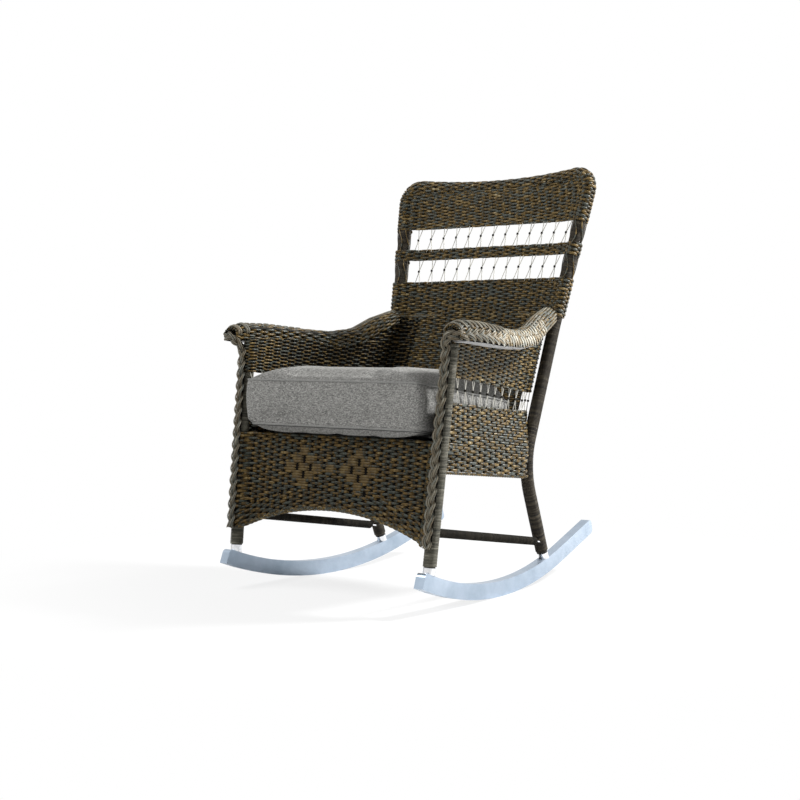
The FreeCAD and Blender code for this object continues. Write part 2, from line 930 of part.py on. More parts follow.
def strap_plane():
    slope = math.atan2(seat_rear_z - seat_front_z, seat_rear_y - seat_front_y)
    run = V(0, math.cos(slope), math.sin(slope))
    return run, V(0, -math.sin(slope), math.cos(slope))


def long_straps():
    run, up = strap_plane()
    front = seat_rail_front_axis()
    rear = seat_rail_rear_axis()
    half = side_rail_axis()[1].x - seat_rail_radius - strap_end_margin
    pitch = (2 * half - long_strap_width) / (long_strap_count - 1)
    straps = []
    for index in range(long_strap_count):
        x = -half + index * pitch
        start = V(x, front.y, front.z) + up * (seat_rail_radius + touch) - run * seat_rail_radius / 2
        length = (rear - V(rear.x, front.y, front.z)).Length + seat_rail_radius
        across = V(long_strap_width, 0, 0)
        lift = up * strap_thickness
        straps.append(slab([start, start + across, start + across + lift, start + lift], run * length))
    return Part.makeCompound(straps)


def cross_straps():
    run, up = strap_plane()
    front, rear = side_rail_axis()
    length = (rear - front).Length - 2 * seat_rail_radius
    pitch = (length - cross_strap_width - 2 * strap_end_margin) / (cross_strap_count - 1)
    straps = []
    for index in range(cross_strap_count):
        along = (rear - front).normalize()
        spot = front + along * (seat_rail_radius + strap_end_margin + index * pitch)
        end = spot + along * cross_strap_width
        rise = up * (seat_rail_radius + touch)
        lift = up * (strap_thickness - touch)
        corners = [V(-spot.x, spot.y, spot.z), spot, end, V(-end.x, end.y, end.z)]
        straps.append(slab([corner + rise for corner in corners], lift))
    return Part.makeCompound(straps)


# Seat cushion: a boxed cover with a crowned top, over one block of foam

def cushion_half_width(share):
    # the sides of the cushion stay clear of the woven side panels, more so at the front
    y = mix(cushion_front_y, cushion_rear_y, share)
    return panel_x(y, seat_z(y)) - weave_thickness / 2 - mix(cushion_front_gap, cushion_rear_gap, share)


def cushion_section(index, inset):
    share = cushion_station_shares[index]
    y = mix(cushion_front_y, cushion_rear_y, share)
    if index == 0:
        y = y + inset
    if index == len(cushion_station_shares) - 1:
        y = y - inset
    half = cushion_half_width(share) * (1 - cushion_inset_shares[index]) - inset
    base = seat_z(y) + 2 * touch + inset
    rest = base + cushion_seam_low * cushion_rest_shares[index]
    low = base + cushion_seam_low
    high = base - inset * 2 + cushion_seam_high
    top = high + cushion_top_crown * cushion_crown_shares[index]
    flat = half * cushion_flat_share
    bulge = half + cushion_side_bulge
    dip = mix(rest, low, cushion_dip_share)
    between = (flat + half) / 2
    level = half * cushion_level_share
    shoulder = mix(level, half, cushion_shoulder_share)
    shoulder_z = mix(high, top, cushion_shoulder_rise_share)
    edges = [
        line(V(-flat, y, rest), V(flat, y, rest)),
        arc(V(flat, y, rest), V(between, y, dip), V(half, y, low)),
        arc(V(half, y, low), V(bulge, y, (low + high) / 2), V(half, y, high)),
        arc(V(half, y, high), V(shoulder, y, shoulder_z), V(level, y, top)),
        line(V(level, y, top), V(-level, y, top)),
        arc(V(-level, y, top), V(-shoulder, y, shoulder_z), V(-half, y, high)),
        arc(V(-half, y, high), V(-bulge, y, (low + high) / 2), V(-half, y, low)),
        arc(V(-half, y, low), V(-between, y, dip), V(-flat, y, rest)),
    ]
    return Part.Wire(edges)


def cushion_block(inset):
    return loft([cushion_section(index, inset) for index in range(len(cushion_station_shares))])


def build():
    os.makedirs("parts", exist_ok=True)
    save_pair("rocker", rocker())
    save_pair("front_leg_tube", front_leg_tube())
    save_pair("rear_leg_and_back_post", back_post_tube())
    save("top_rail_tube", top_rail_tube())
    save_pair("front_leg_ferrule", ferrule(front_foot, front_top))
    save_pair("rear_leg_ferrule", ferrule(rear_foot, bend))
    plugs = [leg_plug(front_foot, front_top), leg_plug(rear_foot, bend)]
    save("leg_plugs", Part.makeCompound(plugs + [mirrored(plug) for plug in plugs]))
    bolts = [rocker_bolt(front_foot, front_top), rocker_bolt(rear_foot, bend)]
    save("rocker_bolts", Part.makeCompound(bolts + [mirrored(bolt) for bolt in bolts]))
    save_pair("front_leg_wrap", front_leg_wrap())
    save_pair("rear_leg_wrap", rear_leg_wrap())
    save_pair("back_post_wrap", back_post_wrap())
    save("top_rail_wrap", top_rail_wrap())
    save_pair("stretcher_tube", stretcher_tube())
    save_pair("stretcher_wrap", stretcher_wrap_sleeve())
    save_pair("stretcher_tab", stretcher_tab())
    save_pair("side_panel_lower", side_panel_lower())
    save_pair("side_panel_upper", side_panel_upper())
    save_pair("side_openwork", side_lattice())
    save("back_panel_lower", back_panel_lower())
    save("back_panel_middle", back_panel_upper(back_band_z[1], back_band_z[2]))
    save("back_panel_top", back_panel_top())
    save("back_openwork_lower", back_lattice(back_band_z[0], back_band_z[1], back_lattice_low_count))
    save("back_openwork_upper", back_lattice(back_band_z[2], back_band_z[3], back_lattice_high_count))
    save("front_skirt", skirt_panel())
    save("skirt_edge_rod", skirt_rod())
    side_rod = panel_bottom_rod()
    save("shell_edge_rods", Part.makeCompound([side_rod, mirrored(side_rod), back_bottom_rod()]))
    save_pair("arm_core_rod", arm_core_rod())
    save_pair("arm_weave", arm_weave())
    save_pair("arm_plate", arm_plate())
    save_pair("arm_braid", arm_braid())
    save_pair("front_leg_braid", leg_braid())
    save("front_seat_rail", front_seat_rail())
    save_pair("side_seat_rail", side_seat_rail())
    save("rear_seat_rail", rear_seat_rail())
    save_pair("seat_bracket", seat_bracket(0))
    save("long_seat_straps", long_straps())
    save("cross_seat_straps", cross_straps())
    foam = cushion_block(cushion_cover_thickness)
    save("cushion_cover", cushion_block(0).cut(foam))
    save("cushion_foam", foam)


build()
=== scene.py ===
import math

import bpy
import numpy as np
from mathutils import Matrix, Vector
from mathutils.bvhtree import BVHTree


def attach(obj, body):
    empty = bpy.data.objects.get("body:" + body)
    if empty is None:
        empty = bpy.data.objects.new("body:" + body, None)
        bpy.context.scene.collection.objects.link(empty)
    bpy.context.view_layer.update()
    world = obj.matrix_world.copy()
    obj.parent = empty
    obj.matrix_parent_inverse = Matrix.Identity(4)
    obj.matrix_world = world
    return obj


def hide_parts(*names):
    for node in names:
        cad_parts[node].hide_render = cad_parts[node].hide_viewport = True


# The looks of a woven porch rocking chair. Shapes are worked out in millimetres and turned into metres
# where a mesh is made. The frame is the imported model: floor Z = 0, front towards -Y, right side +X.

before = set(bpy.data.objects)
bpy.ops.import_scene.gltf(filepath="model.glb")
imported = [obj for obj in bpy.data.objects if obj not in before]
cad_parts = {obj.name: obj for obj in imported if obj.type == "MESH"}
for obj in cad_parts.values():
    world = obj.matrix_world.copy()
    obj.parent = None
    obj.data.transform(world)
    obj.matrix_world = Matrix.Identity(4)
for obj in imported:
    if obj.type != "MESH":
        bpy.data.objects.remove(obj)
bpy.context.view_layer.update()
MM = 0.001
UP = np.array([0.0, 0.0, 1.0])

# Axes of the tubes
FRONT_FOOT = np.array([293.0, -369.5, 89.7])
FRONT_TOP = np.array([307.5, -304.0, 598.0])
REAR_FOOT = np.array([258.0, 160.5, 61.8])
BEND = np.array([261.0, 63.5, 300.0])
WAIST = np.array([251.0, 218.5, 640.0])
CORNER = np.array([295.5, 329.0, 1036.0])
BEND_RADIUS = 170.0
WAIST_RADIUS = 250.0
CORNER_RADIUS = 44.0
RAIL_TURN = math.radians(11.0)
RAIL_TILT = math.radians(33.0)
FERRULE_LENGTH = 17.0

# Wrapped and woven pieces
LEG_WRAP = 16.0
BACK_WRAP = 21.7
STRETCHER_WRAP = 10.2
STRETCHER_FRONT_Z = 183.0
STRETCHER_REAR_Z = 104.0
TAB_LENGTH = 13.0
NOTCH_Z = 672.0

# Woven shell
SHELL_CORNER = 45.0
SHELL_REACH = 69.0
SHELL_ANGLE = math.radians(26.0)
BACK_BOW = 15.0
STAKE_PITCH = 21.0
SIDE_STAKES = 22
STAKE_SAMPLES = 6
STAKE_STRAND = (2.25, 1.5)
STRAND_HALF_WIDTH = 2.75
STRAND_HALF_THICK = 1.8
WEAVE_DEPTH = 2.3
DIP_SHARPNESS = 2.3
STRAND_WOBBLE = 0.22
STRAND_SPREAD = (0.97, 0.17)
PANEL_CLEAR = 0.3
ROW_FILL = 0.54
BACK_ROW_PITCH = 5.4
SIDE_LOW_ROW_PITCH = 6.35
SIDE_HIGH_ROW_PITCH = 4.9
SKIRT_ROW_PITCH = 6.1
BACK_BANDS = [(281.0, 762.0), (821.0, 852.0), (908.0, 1036.0)]
BACK_OPEN_BANDS = [(762.0, 821.0, 12), (852.0, 908.0, 13)]
SIDE_LOW_BAND = [(317.0, 281.0), (470.0, 431.0)]
SIDE_HIGH_BAND = [(528.0, 476.0), (612.0, 604.0)]
SIDE_OPEN_PITCH = 34.0
BACK_OPEN_PITCH = 39.0

# Skirt
SKIRT_TOP_Z = 382.0
SKIRT_FOOT_Z = 150.0
SKIRT_ARCH_Z = 217.0

# Arms, by stations from the front to the rear
ARM_Y = (-345.0, 200.0)
ARM_STATION_SHARES = [0.0, 0.07, 0.21, 0.388, 0.585, 0.74, 0.857, 1.0]
ARM_INSET_SHARES = [0.16, 0.03, 0.0, 0.0, 0.0, 0.0, 0.0, 0.0]
ARM_WIDTH_SHARES = [0.62, 0.89, 1.0, 1.04, 1.04, 0.99, 0.92, 0.8]
ARM_DIP_SHARES = [0.0, 0.06, 0.25, 0.7, 1.0, 0.6, 0.0, 0.0]
ARM_SWEEP_SHARES = [0.0, 0.0, 0.0, 0.0, 0.0, 0.02, 0.42, 1.0]
ARM_HEIGHT_SHARES = [0.7, 0.95, 1.0, 0.98, 0.94, 0.95, 0.9, 0.75]
ARM_BASE_Z = 606.0
ARM_DIP = 18.0
ARM_SWEEP = 50.0
ARM_WIDTH = 58.0
ARM_HEIGHT = 41.0
ARM_OVERHANG = 8.0
ARM_EDGE_SHARE = 0.62
ARM_INNER_SHARE = 0.72
ARM_CROWN_SHARE = 0.33
ARM_MIDDLE_DROP = 10.0

# Back: rows rise to a bow in their middle, go round the posts, and follow the rounded corner near the rail
LOW_BACK_STAKES = 19
HIGH_BACK_STAKES = 33
BOW_START_Z = 480.0
ROW_BOW = 6.0
BACK_DEPTH = 29.0
BACK_LAP = 6.0
PATH_LAP = 12.0
POST_TURN = 1.3 * math.pi
TOP_ROOM = 24.0
CORNER_LEFT = 34.0
RAIL_LAP = 10.0
RAIL_FORWARD = 18.0
RAIL_BLEND_Z = (935.0, 1005.0)
# how far the painted-shade sheets behind the weave reach past their last rows, as a share of a row's step
SHADE_SHEET_RUN = 0.4

# Shoulder ledges, and the wings that close the sides above the rear end of the arms
LEDGE_X = 120.0
LEDGE_DROP = 3.0
LEDGE_ROWS = 6
LEDGE_STAKES = 7
LEDGE_SAMPLES = 43
WING_STAKES = 4
WING_Y = (60.0, 120.0, 200.0)
WING_DROP = 8.0
WING_LAP = 3.0
WING_LEAST = 4.0

# Sides: where round the front leg the rows start, their cover over the seat's rail, and their swing at the
# rear leg, from the leg's axis
LEG_TURNS = np.radians([-96.0, -120.0, -145.0, -170.0, -190.0])
LEG_TURN_Z = 484.0
LEG_CLEAR = 2.6
RAIL_COVER = 15.5
FLARE = np.array([[31.0, -62.0], [31.0, -44.0], [28.0, -37.0], [20.0, -32.0], [-28.0, -12.0]])
FLARE_Z = (310.0, 450.0)

# Openwork: where the two strands of a unit end, from its middle, and their knot
OPEN_KNOT_SHARE = 0.55
OPEN_TOP = (-0.5, 11.0)
OPEN_BOTTOM = (-10.0, 5.0)
OPEN_TUCK = 4.0
OPEN_HALF_WIDTH = 1.1
OPEN_HALF_THICK = 0.88
OPEN_KNOT_RADIUS = 2.0
OPEN_KNOT_SHIFT = 1.3
OPEN_KNOT_CORD = (1.5, 1.1)
OPEN_PULL = 0.07

# Skirt pattern
DIAMOND_X = (-96.0, 72.0)
DIAMOND_MIDDLE = sum(DIAMOND_X) / 2
DIAMOND_FIRST_ROW = 5
SKIRT_ARCH_ROWS = 7
SKIRT_STAND = 1.5
SKIRT_TURN_SHARES = (2.4, 1.8)
SKIRT_END_SHARE = 0.3
NO_ACCENT = 10.0

# Rail sleeve, bare posts, wound cord and edge ropes
SLEEVE_ROWS = 22
SLEEVE_RADIUS = 18.0
SLEEVE_OVERLAP = 1.1
BARE_POST_RADIUS = 16.0
BARE_POST_REACH = 8.0
POST_STRANDS = 5
POST_STRAND = (1.6, 1.1)
POST_STRAND_LIFT = 2.2
POST_STRAND_SWAY = 0.4
LEG_RIB_PITCH = 3.3
COIL_STEPS = 14
COIL_END = 1.6
COIL_SINK = 1.5
COIL_WIDTH_SHARE = 0.52
COIL_HALF_THICK = 1.6
THIN_COIL_SINK = 1.1
THIN_COIL_PITCH_SHARE = 0.9
THIN_COIL_WIDTH_SHARE = 0.48
THIN_COIL_HALF_THICK = 1.2
EDGE_ROPE_RADIUS = 3.6
EDGE_ROPE_DROP = 3.8
ROPE_SWING_SHARE = 0.5
ROPE_STRAND_SHARES = (0.62, 0.52)
SKIRT_ROPE_REACH = 3.0
SKIRT_ROPE_PERIOD = 44.0
SKIRT_ROPE_DEPTH = 2.0
SKIRT_ROPE_STRANDS = 2
SKIRT_ROPE_STRAND_WIDTH = 3.2
ROPE_STRANDS = 2
ROPE_PITCH = 14.0

# Weave, loops, plait and herringbone of the arms
ARM_LENGTHS = 23
ARM_LOOP_PITCH = 20.5
ARM_LOOP_STEP = 4.9
LOOP_SHARES = (0.46, 0.78)
FRONT_LOOP_SHARES = (0.15, 0.78)
LOOP_STRAND = (2.9, 2.0)
LOOP_LIFT = 3.2
LOOP_CROWN = 2.2
ARM_STEP = 3.0
EDGE_LINE_Y = (-323.0, 70.0)
EDGE_LINE_SHARES = (0.20, 0.27, 0.34)
EDGE_LINE_STRAND = (3.4, 1.9)
EDGE_LINE_LIFT = 2.6
ARM_BRAID_SHARE = 0.72
ARM_BRAID_DROP = 3.0
LEG_PLAIT_REACH = 7.6
PLAIT_STEP = 3.0
PLAIT_OUT = 2.0
PLAIT_FRONT_LIFT = 7.0
PLAIT_LEG_END = 12.0
PLAIT_ARM_START = 16.0
PLAIT_ARM_LIFT = 2.6
PLAIT_ARM_MARGIN = 4.0
PLAIT_SPREAD = 0.42
PLAIT_END_Y = -130.0
PLAIT_PERIOD = 87.0
PLAIT_DEPTH = 3.6
PLAIT_STRANDS = 3
PLAIT_STRAND_WIDTH = 3.3
# the painted-shade sheet behind the plait: how far behind it lies, and its half-width as a share of the
# plait's reach
PLAIT_BACK = 2.5
PLAIT_BACK_SHARE = 0.85
PLY_STEP_SHARE = 0.9
PLY_BULGE_SHARE = 0.45
PLY_STRAND_SHARES = (0.5, 0.36)
PLAIT_NOSE = np.array([[316.0, -343.0, 603.0], [324.0, -347.0, 612.0], [338.0, -347.0, 616.0],
                       [352.0, -344.0, 616.0]])
PALER_RUN = 150.0
LEAF_PITCH = 14.5
LEAF_RUN = 29.0
LEAF_HALF_WIDTH = 3.915
LEAF_HALF_THICK = 2.4
LEAF_ROOT_LIFT = 1.2
LEAF_CROWN = 2.8
LEAF_DIP = 0.6
LEAF_SHARES = (0.50, 0.76, 0.99)
LEAF_LIFT = 2.4
LEAF_OVERLAP = 0.16
LEAF_END_Y = 118.0
SWEEP_STRANDS = 8
SWEEP_STRAND = (2.4, 1.5)
SWEEP_SHARES = (0.42, 0.97)
SWEEP_LIFT = 3.4
SWEEP_LAP = 85.0

# Seat and cushion
SEAT_FRONT_Y = -330.0
SEAT_FRONT_Z = 384.0
SEAT_REAR_Y = 50.0
SEAT_REAR_Z = 333.0
CUSHION_SEAM_LOW = 17.6
CUSHION_SEAM_HIGH = 122.6
CUSHION_OVERHANG_Y = -338.0
CUSHION_MIDDLE = np.array([0.0, -146.0])
CUSHION_FAR = 420.0
PIPING_RADIUS = 2.6
# a thin dark strand under each piping cord, painted shade of the groove below it: how far under the seam it
# lies, and its size
SEAM_SHADE_DROP = 3.6
SEAM_SHADE_STRAND = (1.2, 1.0)
CLOTH_VOXEL = 6.0
CLOTH_PRESSURE = 4.0
CLOTH_FRAMES = 20
SWELL_SIDE = 4.0
SWELL_FRONT = 7.0
SWELL_UNDER = 0.8
SWELL_CROWN = 8.0

# The floor glows more towards its edges, between these distances in metres; the sky lights less than it shows
FLOOR_GLOW = 0.82
FLOOR_FADE = (0.55, 1.25)
SKY_LEVEL = 0.2


# Mesh making

def unit(vectors):
    vectors = np.asarray(vectors, float)
    return vectors / np.maximum(np.linalg.norm(vectors, axis=-1, keepdims=True), 1e-9)


def mix(start, end, share):
    return start + (end - start) * share


def mirror(points):
    return np.asarray(points) * np.array([-1.0, 1.0, 1.0])


# Each side's number and name, and what puts a right-hand shape there
SIDES = ((0, "right", np.asarray), (1, "left", mirror))


def tangents(points):
    return unit(np.gradient(points, axis=-2))


def lengths_along(points):
    # how far each point of a route lies from its first
    return np.concatenate([[0], np.cumsum(np.linalg.norm(np.diff(points, axis=0), axis=1))])


def read_at(values, length, place):
    # what is given along a route, read at other places of it
    return np.stack([np.interp(place, length, values[:, axis]) for axis in range(values.shape[1])], -1)


def even(route, samples):
    length = lengths_along(route)
    return read_at(route, length, np.linspace(0, length[-1], samples))


def resample(points, pitch):
    points = np.asarray(points, float)
    return even(points, max(2, int(round(lengths_along(points)[-1] / pitch)) + 1))


def smooth_step(share):
    share = np.clip(share, 0, 1)
    return share * share * (3 - 2 * share)


def make_object(name, verts, quads, caps=(), strand=None):
    # a smooth mesh of quads and of end caps, from points in millimetres
    mesh = bpy.data.meshes.new(name)
    caps = [np.asarray(cap) for cap in caps if len(cap)]
    sizes = [np.full(len(quads), 4)] + [np.full(len(cap), cap.shape[1]) for cap in caps]
    loops = np.concatenate([quads.reshape(-1)] + [cap.reshape(-1) for cap in caps]).astype(np.int32)
    sizes = np.concatenate(sizes).astype(np.int32)
    mesh.vertices.add(len(verts))
    mesh.vertices.foreach_set("co", (np.asarray(verts, float) * MM).reshape(-1))
    mesh.loops.add(len(loops))
    mesh.loops.foreach_set("vertex_index", loops)
    mesh.polygons.add(len(sizes))
    mesh.polygons.foreach_set("loop_start", np.concatenate([[0], np.cumsum(sizes)[:-1]]).astype(np.int32))
    mesh.polygons.foreach_set("loop_total", sizes)
    mesh.polygons.foreach_set("use_smooth", np.ones(len(sizes), bool))
    if strand is not None:
        layer = mesh.attributes.new("strand", "FLOAT_VECTOR", "POINT")
        layer.data.foreach_set("vector", np.asarray(strand, float).reshape(-1))
    mesh.update(calc_edges=True)
    mesh.validate()
    piece = bpy.data.objects.new(name, mesh)
    bpy.context.scene.collection.objects.link(piece)
    return piece


class Bundle:
    # collects strands, each a flattened tube along its points, into one mesh

    def __init__(self, seed):
        self.random = np.random.default_rng(seed)
        self.verts, self.quads, self.caps, self.strand, self.accent = [], [], {}, [], []
        self.count = 0

    def add(self, points, side, normal, half_width, half_thick, sides=6, closed=False, taper=0, accent=0.0):
        # points, side and normal are (strands, samples, 3)
        points = np.asarray(points, float)
        if points.ndim == 2:
            points, side, normal = points[None], np.asarray(side)[None], np.asarray(normal)[None]
        strands, samples = points.shape[:2]
        angle = (np.arange(sides) + 0.5) * 2 * math.pi / sides
        width = np.broadcast_to(half_width, (strands, samples)).astype(float)
        thick = np.broadcast_to(half_thick, (strands, samples)).astype(float)
        if taper:
            ends = np.minimum(np.arange(samples), np.arange(samples)[::-1]) / taper
            slim = np.clip(0.25 + 0.75 * ends, 0, 1)
            width, thick = width * slim, thick * slim
        ring = (side[:, :, None] * (width[:, :, None] * np.cos(angle))[..., None]
                + normal[:, :, None] * (thick[:, :, None] * np.sin(angle))[..., None])
        verts = points[:, :, None] + ring
        grid = np.arange(strands * samples * sides).reshape(strands, samples, sides) + self.count
        here = grid if closed else grid[:, :-1]
        ahead = np.roll(grid, -1, axis=1) if closed else grid[:, 1:]
        quads = np.stack([here, np.roll(here, -1, 2), np.roll(ahead, -1, 2), ahead], -1).reshape(-1, 4)
        self.quads.append(quads)
        if not closed:
            self.caps.setdefault(sides, []).extend([grid[:, 0, ::-1], grid[:, -1]])
        steps = np.linalg.norm(np.diff(points, axis=1), axis=2)
        along = np.concatenate([np.zeros((strands, 1)), np.cumsum(steps, axis=1)], axis=1)
        along = along + self.random.uniform(0, 4000, (strands, 1))
        key = self.random.uniform(0, 1, (strands, 1))
        data = np.empty(verts.shape)
        data[..., 0] = (along * 0.02)[:, :, None]
        data[..., 1] = key[:, :, None]
        data[..., 2] = np.sin(angle) * 0.5
        self.verts.append(verts.reshape(-1, 3))
        self.strand.append(data.reshape(-1, 3))
        marked = np.broadcast_to(accent, (strands, samples)).astype(float)
        self.accent.append(np.repeat(marked.reshape(-1), sides))
        self.count += strands * samples * sides

    def piece(self, name, material, *nodes, slot="woven_strand", body="chair"):
        caps = [np.concatenate(group) for group in self.caps.values()]
        made = make_object(name, np.concatenate(self.verts), np.concatenate(self.quads), caps,
                           np.concatenate(self.strand))
        accent = np.concatenate(self.accent)
        if accent.any():
            made.data.attributes.new("accent", "FLOAT", "POINT").data.foreach_set("value", accent)
        made.data.materials.append(material)
        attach(made, body)
        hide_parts(*nodes)


# Places on the frame

def front_leg_at(z):
    share = (np.asarray(z, float) - FRONT_FOOT[2]) / (FRONT_TOP[2] - FRONT_FOOT[2])
    return FRONT_FOOT + (FRONT_TOP - FRONT_FOOT) * share[..., None]


def post_at(z):
    route = np.array([REAR_FOOT, BEND, WAIST, CORNER, CORNER + (CORNER - WAIST)])
    return read_at(route, route[:, 2], np.asarray(z, float))


def corner_centre(z):
    post = post_at(z)
    x, y = post[..., 0], post[..., 1]
    return x - SHELL_REACH * math.cos(SHELL_ANGLE), y - SHELL_REACH * math.sin(SHELL_ANGLE)


def back_y(x, z):
    cx, cy = corner_centre(z)
    radius = (cx ** 2 + BACK_BOW ** 2) / (2 * BACK_BOW)
    return cy + SHELL_CORNER + BACK_BOW - radius + np.sqrt(radius ** 2 - x ** 2)


def panel_front(z):
    leg = front_leg_at(z)
    return leg[..., 0], leg[..., 1] + LEG_WRAP + PANEL_CLEAR


def panel_rear(z):
    cx, cy = corner_centre(z)
    return cx + SHELL_CORNER, cy


SKIRT_NORMAL = np.cross(unit(FRONT_TOP - FRONT_FOOT) * [0, 1, 1], [1.0, 0, 0]) * -1
SKIRT_NORMAL = SKIRT_NORMAL / np.linalg.norm(SKIRT_NORMAL)
SKIRT_NORMAL = SKIRT_NORMAL * -np.sign(SKIRT_NORMAL[1])


def panel_x(y, z):
    fx, fy = panel_front(z)
    rx, ry = panel_rear(z)
    return mix(fx, rx, (y - fy) / (ry - fy))


def fillet(before, corner, after, radius, steps=10):
    # points along the arc that rounds one corner of a route
    into, out = unit(before - corner), unit(after - corner)
    half = math.acos(float(np.clip(into @ out, -1, 1))) / 2
    centre = corner + unit(into + out) * (radius / math.sin(half))
    start, end = corner + into * radius / math.tan(half), corner + out * radius / math.tan(half)
    a, b = start - centre, end - centre
    turn = math.acos(float(np.clip(unit(a) @ unit(b), -1, 1)))
    t = np.linspace(0, 1, steps)[:, None]
    return centre + (a * np.sin((1 - t) * turn) + b * np.sin(t * turn)) / math.sin(turn)


# Woven surfaces: rows of strand that pass before and behind a line of stakes

def wave(phase):
    # +1 before one stake, and a short dip to -1 behind the next
    c = np.cos(math.pi * phase)
    return 1 - 2 * ((1 - c) / 2) ** DIP_SHARPNESS


def weave_rows(bundle, points, normal, phase, half_width=STRAND_HALF_WIDTH, parity=None, accent=0.0):
    # points (rows, samples, 3), phase in stakes along the rows; parity is given where the weave isn't plain
    if parity is None:
        parity = np.arange(len(points))[:, None] % 2
    level = wave(phase + parity)
    path = points + normal * (level * WEAVE_DEPTH)[..., None]
    wobble = bundle.random.normal(0, STRAND_WOBBLE, path.shape[:2])
    side = unit(np.cross(normal, tangents(points)))
    path = path + side * wobble[..., None]
    tilt = unit(np.cross(tangents(path), side)) * -1
    facing = np.sign(np.sum(tilt * normal, -1, keepdims=True))
    spread = half_width * (STRAND_SPREAD[0] + STRAND_SPREAD[1] * level)
    bundle.add(path, side, tilt * facing, spread, STRAND_HALF_THICK, accent=accent)


def add_shade_sheet(name, grids, *nodes):
    # a near-black sheet behind the weave: painted shade, which darkens the holes between strands
    verts, quads, count = [], [], 0
    for grid in grids:
        before, after = mix(grid[:1], grid[1:2], -SHADE_SHEET_RUN), mix(grid[-1:], grid[-2:-1], -SHADE_SHEET_RUN)
        grid = np.concatenate([before, grid, after])
        index = np.arange(grid[..., 0].size).reshape(grid.shape[:2]) + count
        corners = [index[:-1, :-1], index[:-1, 1:], index[1:, 1:], index[1:, :-1]]
        quads.append(np.stack(corners, -1).reshape(-1, 4))
        verts.append(grid.reshape(-1, 3))
        count += index.size
    piece = make_object(name, np.concatenate(verts), np.concatenate(quads))
    piece.data.materials.append(SHADE_SHEET)
    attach(piece, "chair")
    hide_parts(*nodes)


def add_stakes(bundle, rows, normal):
    # stakes through the middle of the weave, one through each column of the rows' points
    points, normal = rows.transpose(1, 0, 2), normal.transpose(1, 0, 2)
    bundle.add(points, unit(np.cross(normal, tangents(points))), normal, *STAKE_STRAND)


def rows_between(low, high, pitch):
    count = max(2, int(round((high - low) / pitch)))
    return low + (np.arange(count) + 0.5) * (high - low) / count


def bow_at(z):
    # how much higher a row of the back runs in its middle than at the posts
    z = np.asarray(z, float)
    return ROW_BOW * smooth_step((z - BOW_START_Z) / (NOTCH_Z - BOW_START_Z))


def low_back_points(z, stakes):
    # level rows between the corners of the shell
    u = np.linspace(-1, 1, stakes * STAKE_SAMPLES + 1)
    x = corner_centre(z)[0][:, None] * u[None, :]
    level = np.repeat(z[:, None], len(u), 1)
    return np.stack([x, back_y(x, level), level + bow_at(z)[:, None] * (1 - u ** 2)], -1)


def frame_path():
    # the right post from the notch upwards, then its rounded corner, as far as the rail
    return resample(np.concatenate([post_route(NOTCH_Z - PATH_LAP, CORNER[2]), rail_corner()[1:]]), 2.0)


def high_back_points(middles, places, stakes):
    # rows that cross the back and go round both posts, seen from the front as one surface
    path = frame_path()
    along, length = tangents(path), lengths_along(path)
    u = np.linspace(0, 1, 40)
    turn = np.linspace(0, POST_TURN, 26)[1:, None]
    rows = []
    for middle, place in zip(middles, places):
        post = read_at(path, length, place)
        lean = unit(read_at(along, length, place))
        front = unit(np.array([0.0, -1.0, 0.0]) + lean * lean[1])
        outer = np.cross(front, lean) * -1
        outer = outer * np.sign(outer[0])
        end = post + front * SLEEVE_RADIUS
        blend = float(smooth_step((middle - RAIL_BLEND_Z[0]) / (RAIL_BLEND_Z[1] - RAIL_BLEND_Z[0])))
        y = end[1] + (BACK_DEPTH - RAIL_FORWARD * blend + SLEEVE_RADIUS) * (1 - u ** 6)
        panel = np.stack([end[0] * u, y, middle + (end[2] - middle) * u ** 2], -1)
        ring = post + (front * np.cos(turn) + outer * np.sin(turn)) * SLEEVE_RADIUS
        half = np.concatenate([panel, ring])
        rows.append(even(np.concatenate([mirror(half)[::-1], half[1:]]), stakes * STAKE_SAMPLES + 1))
    return np.stack(rows)


def post_place(z):
    # how far along the frame path a height of the post lies
    path = frame_path()
    rise = slice(0, int(np.argmax(path[:, 2])) + 1)
    return np.interp(z, path[rise, 2], lengths_along(path)[rise])


def back_band(bundle, low, high, upper):
    heights = rows_between(low, high, BACK_ROW_PITCH)
    stakes = HIGH_BACK_STAKES if upper else LOW_BACK_STAKES
    if not upper:
        points = low_back_points(heights, stakes)
    elif high < RAIL_BLEND_Z[0]:
        points = high_back_points(heights + bow_at(heights), post_place(heights), stakes)
    else:
        share = (heights - low) / (high - low)
        places = mix(post_place(low), lengths_along(frame_path())[-1] - CORNER_LEFT, share)
        points = high_back_points(mix(low + bow_at(low), high - TOP_ROOM, share), places, stakes)
    phase = np.linspace(0, stakes, points.shape[1])
    weave_rows(bundle, points, outward_normal(points), phase, BACK_ROW_PITCH * ROW_FILL)
    return points


def weave_front(z):
    # a side row comes from the leg's front round its inner side; lower down it starts beside the leg
    x, y, _ = front_leg_at(z)
    turn = LEG_TURNS if z > LEG_TURN_Z else LEG_TURNS[-2:]
    out = LEG_WRAP + LEG_CLEAR
    return np.stack([x + out * np.cos(turn), y + out * np.sin(turn), np.full(len(turn), z)], -1)


def corner_route(z):
    # the rear corner of a side row; lower down it swings out in front of the rear leg
    cx, cy = corner_centre(z)
    turn = np.linspace(0, math.pi / 2, 12)
    arc = np.stack([cx + SHELL_CORNER * np.cos(turn), cy + SHELL_CORNER * np.sin(turn)], -1)
    leg = post_at(z)[:2]
    swing = even(np.concatenate([FLARE + leg, arc[-1:]]), 12)
    share = float(smooth_step((FLARE_Z[1] - z) / (FLARE_Z[1] - FLARE_Z[0])))
    return np.concatenate([mix(arc, swing, share), np.full((12, 1), z)], 1)


def side_route(z_front, z_rear):
    # one row of a side band: straight from the front leg, then round the corner into the back
    return np.concatenate([weave_front(z_front), corner_route(z_rear)])


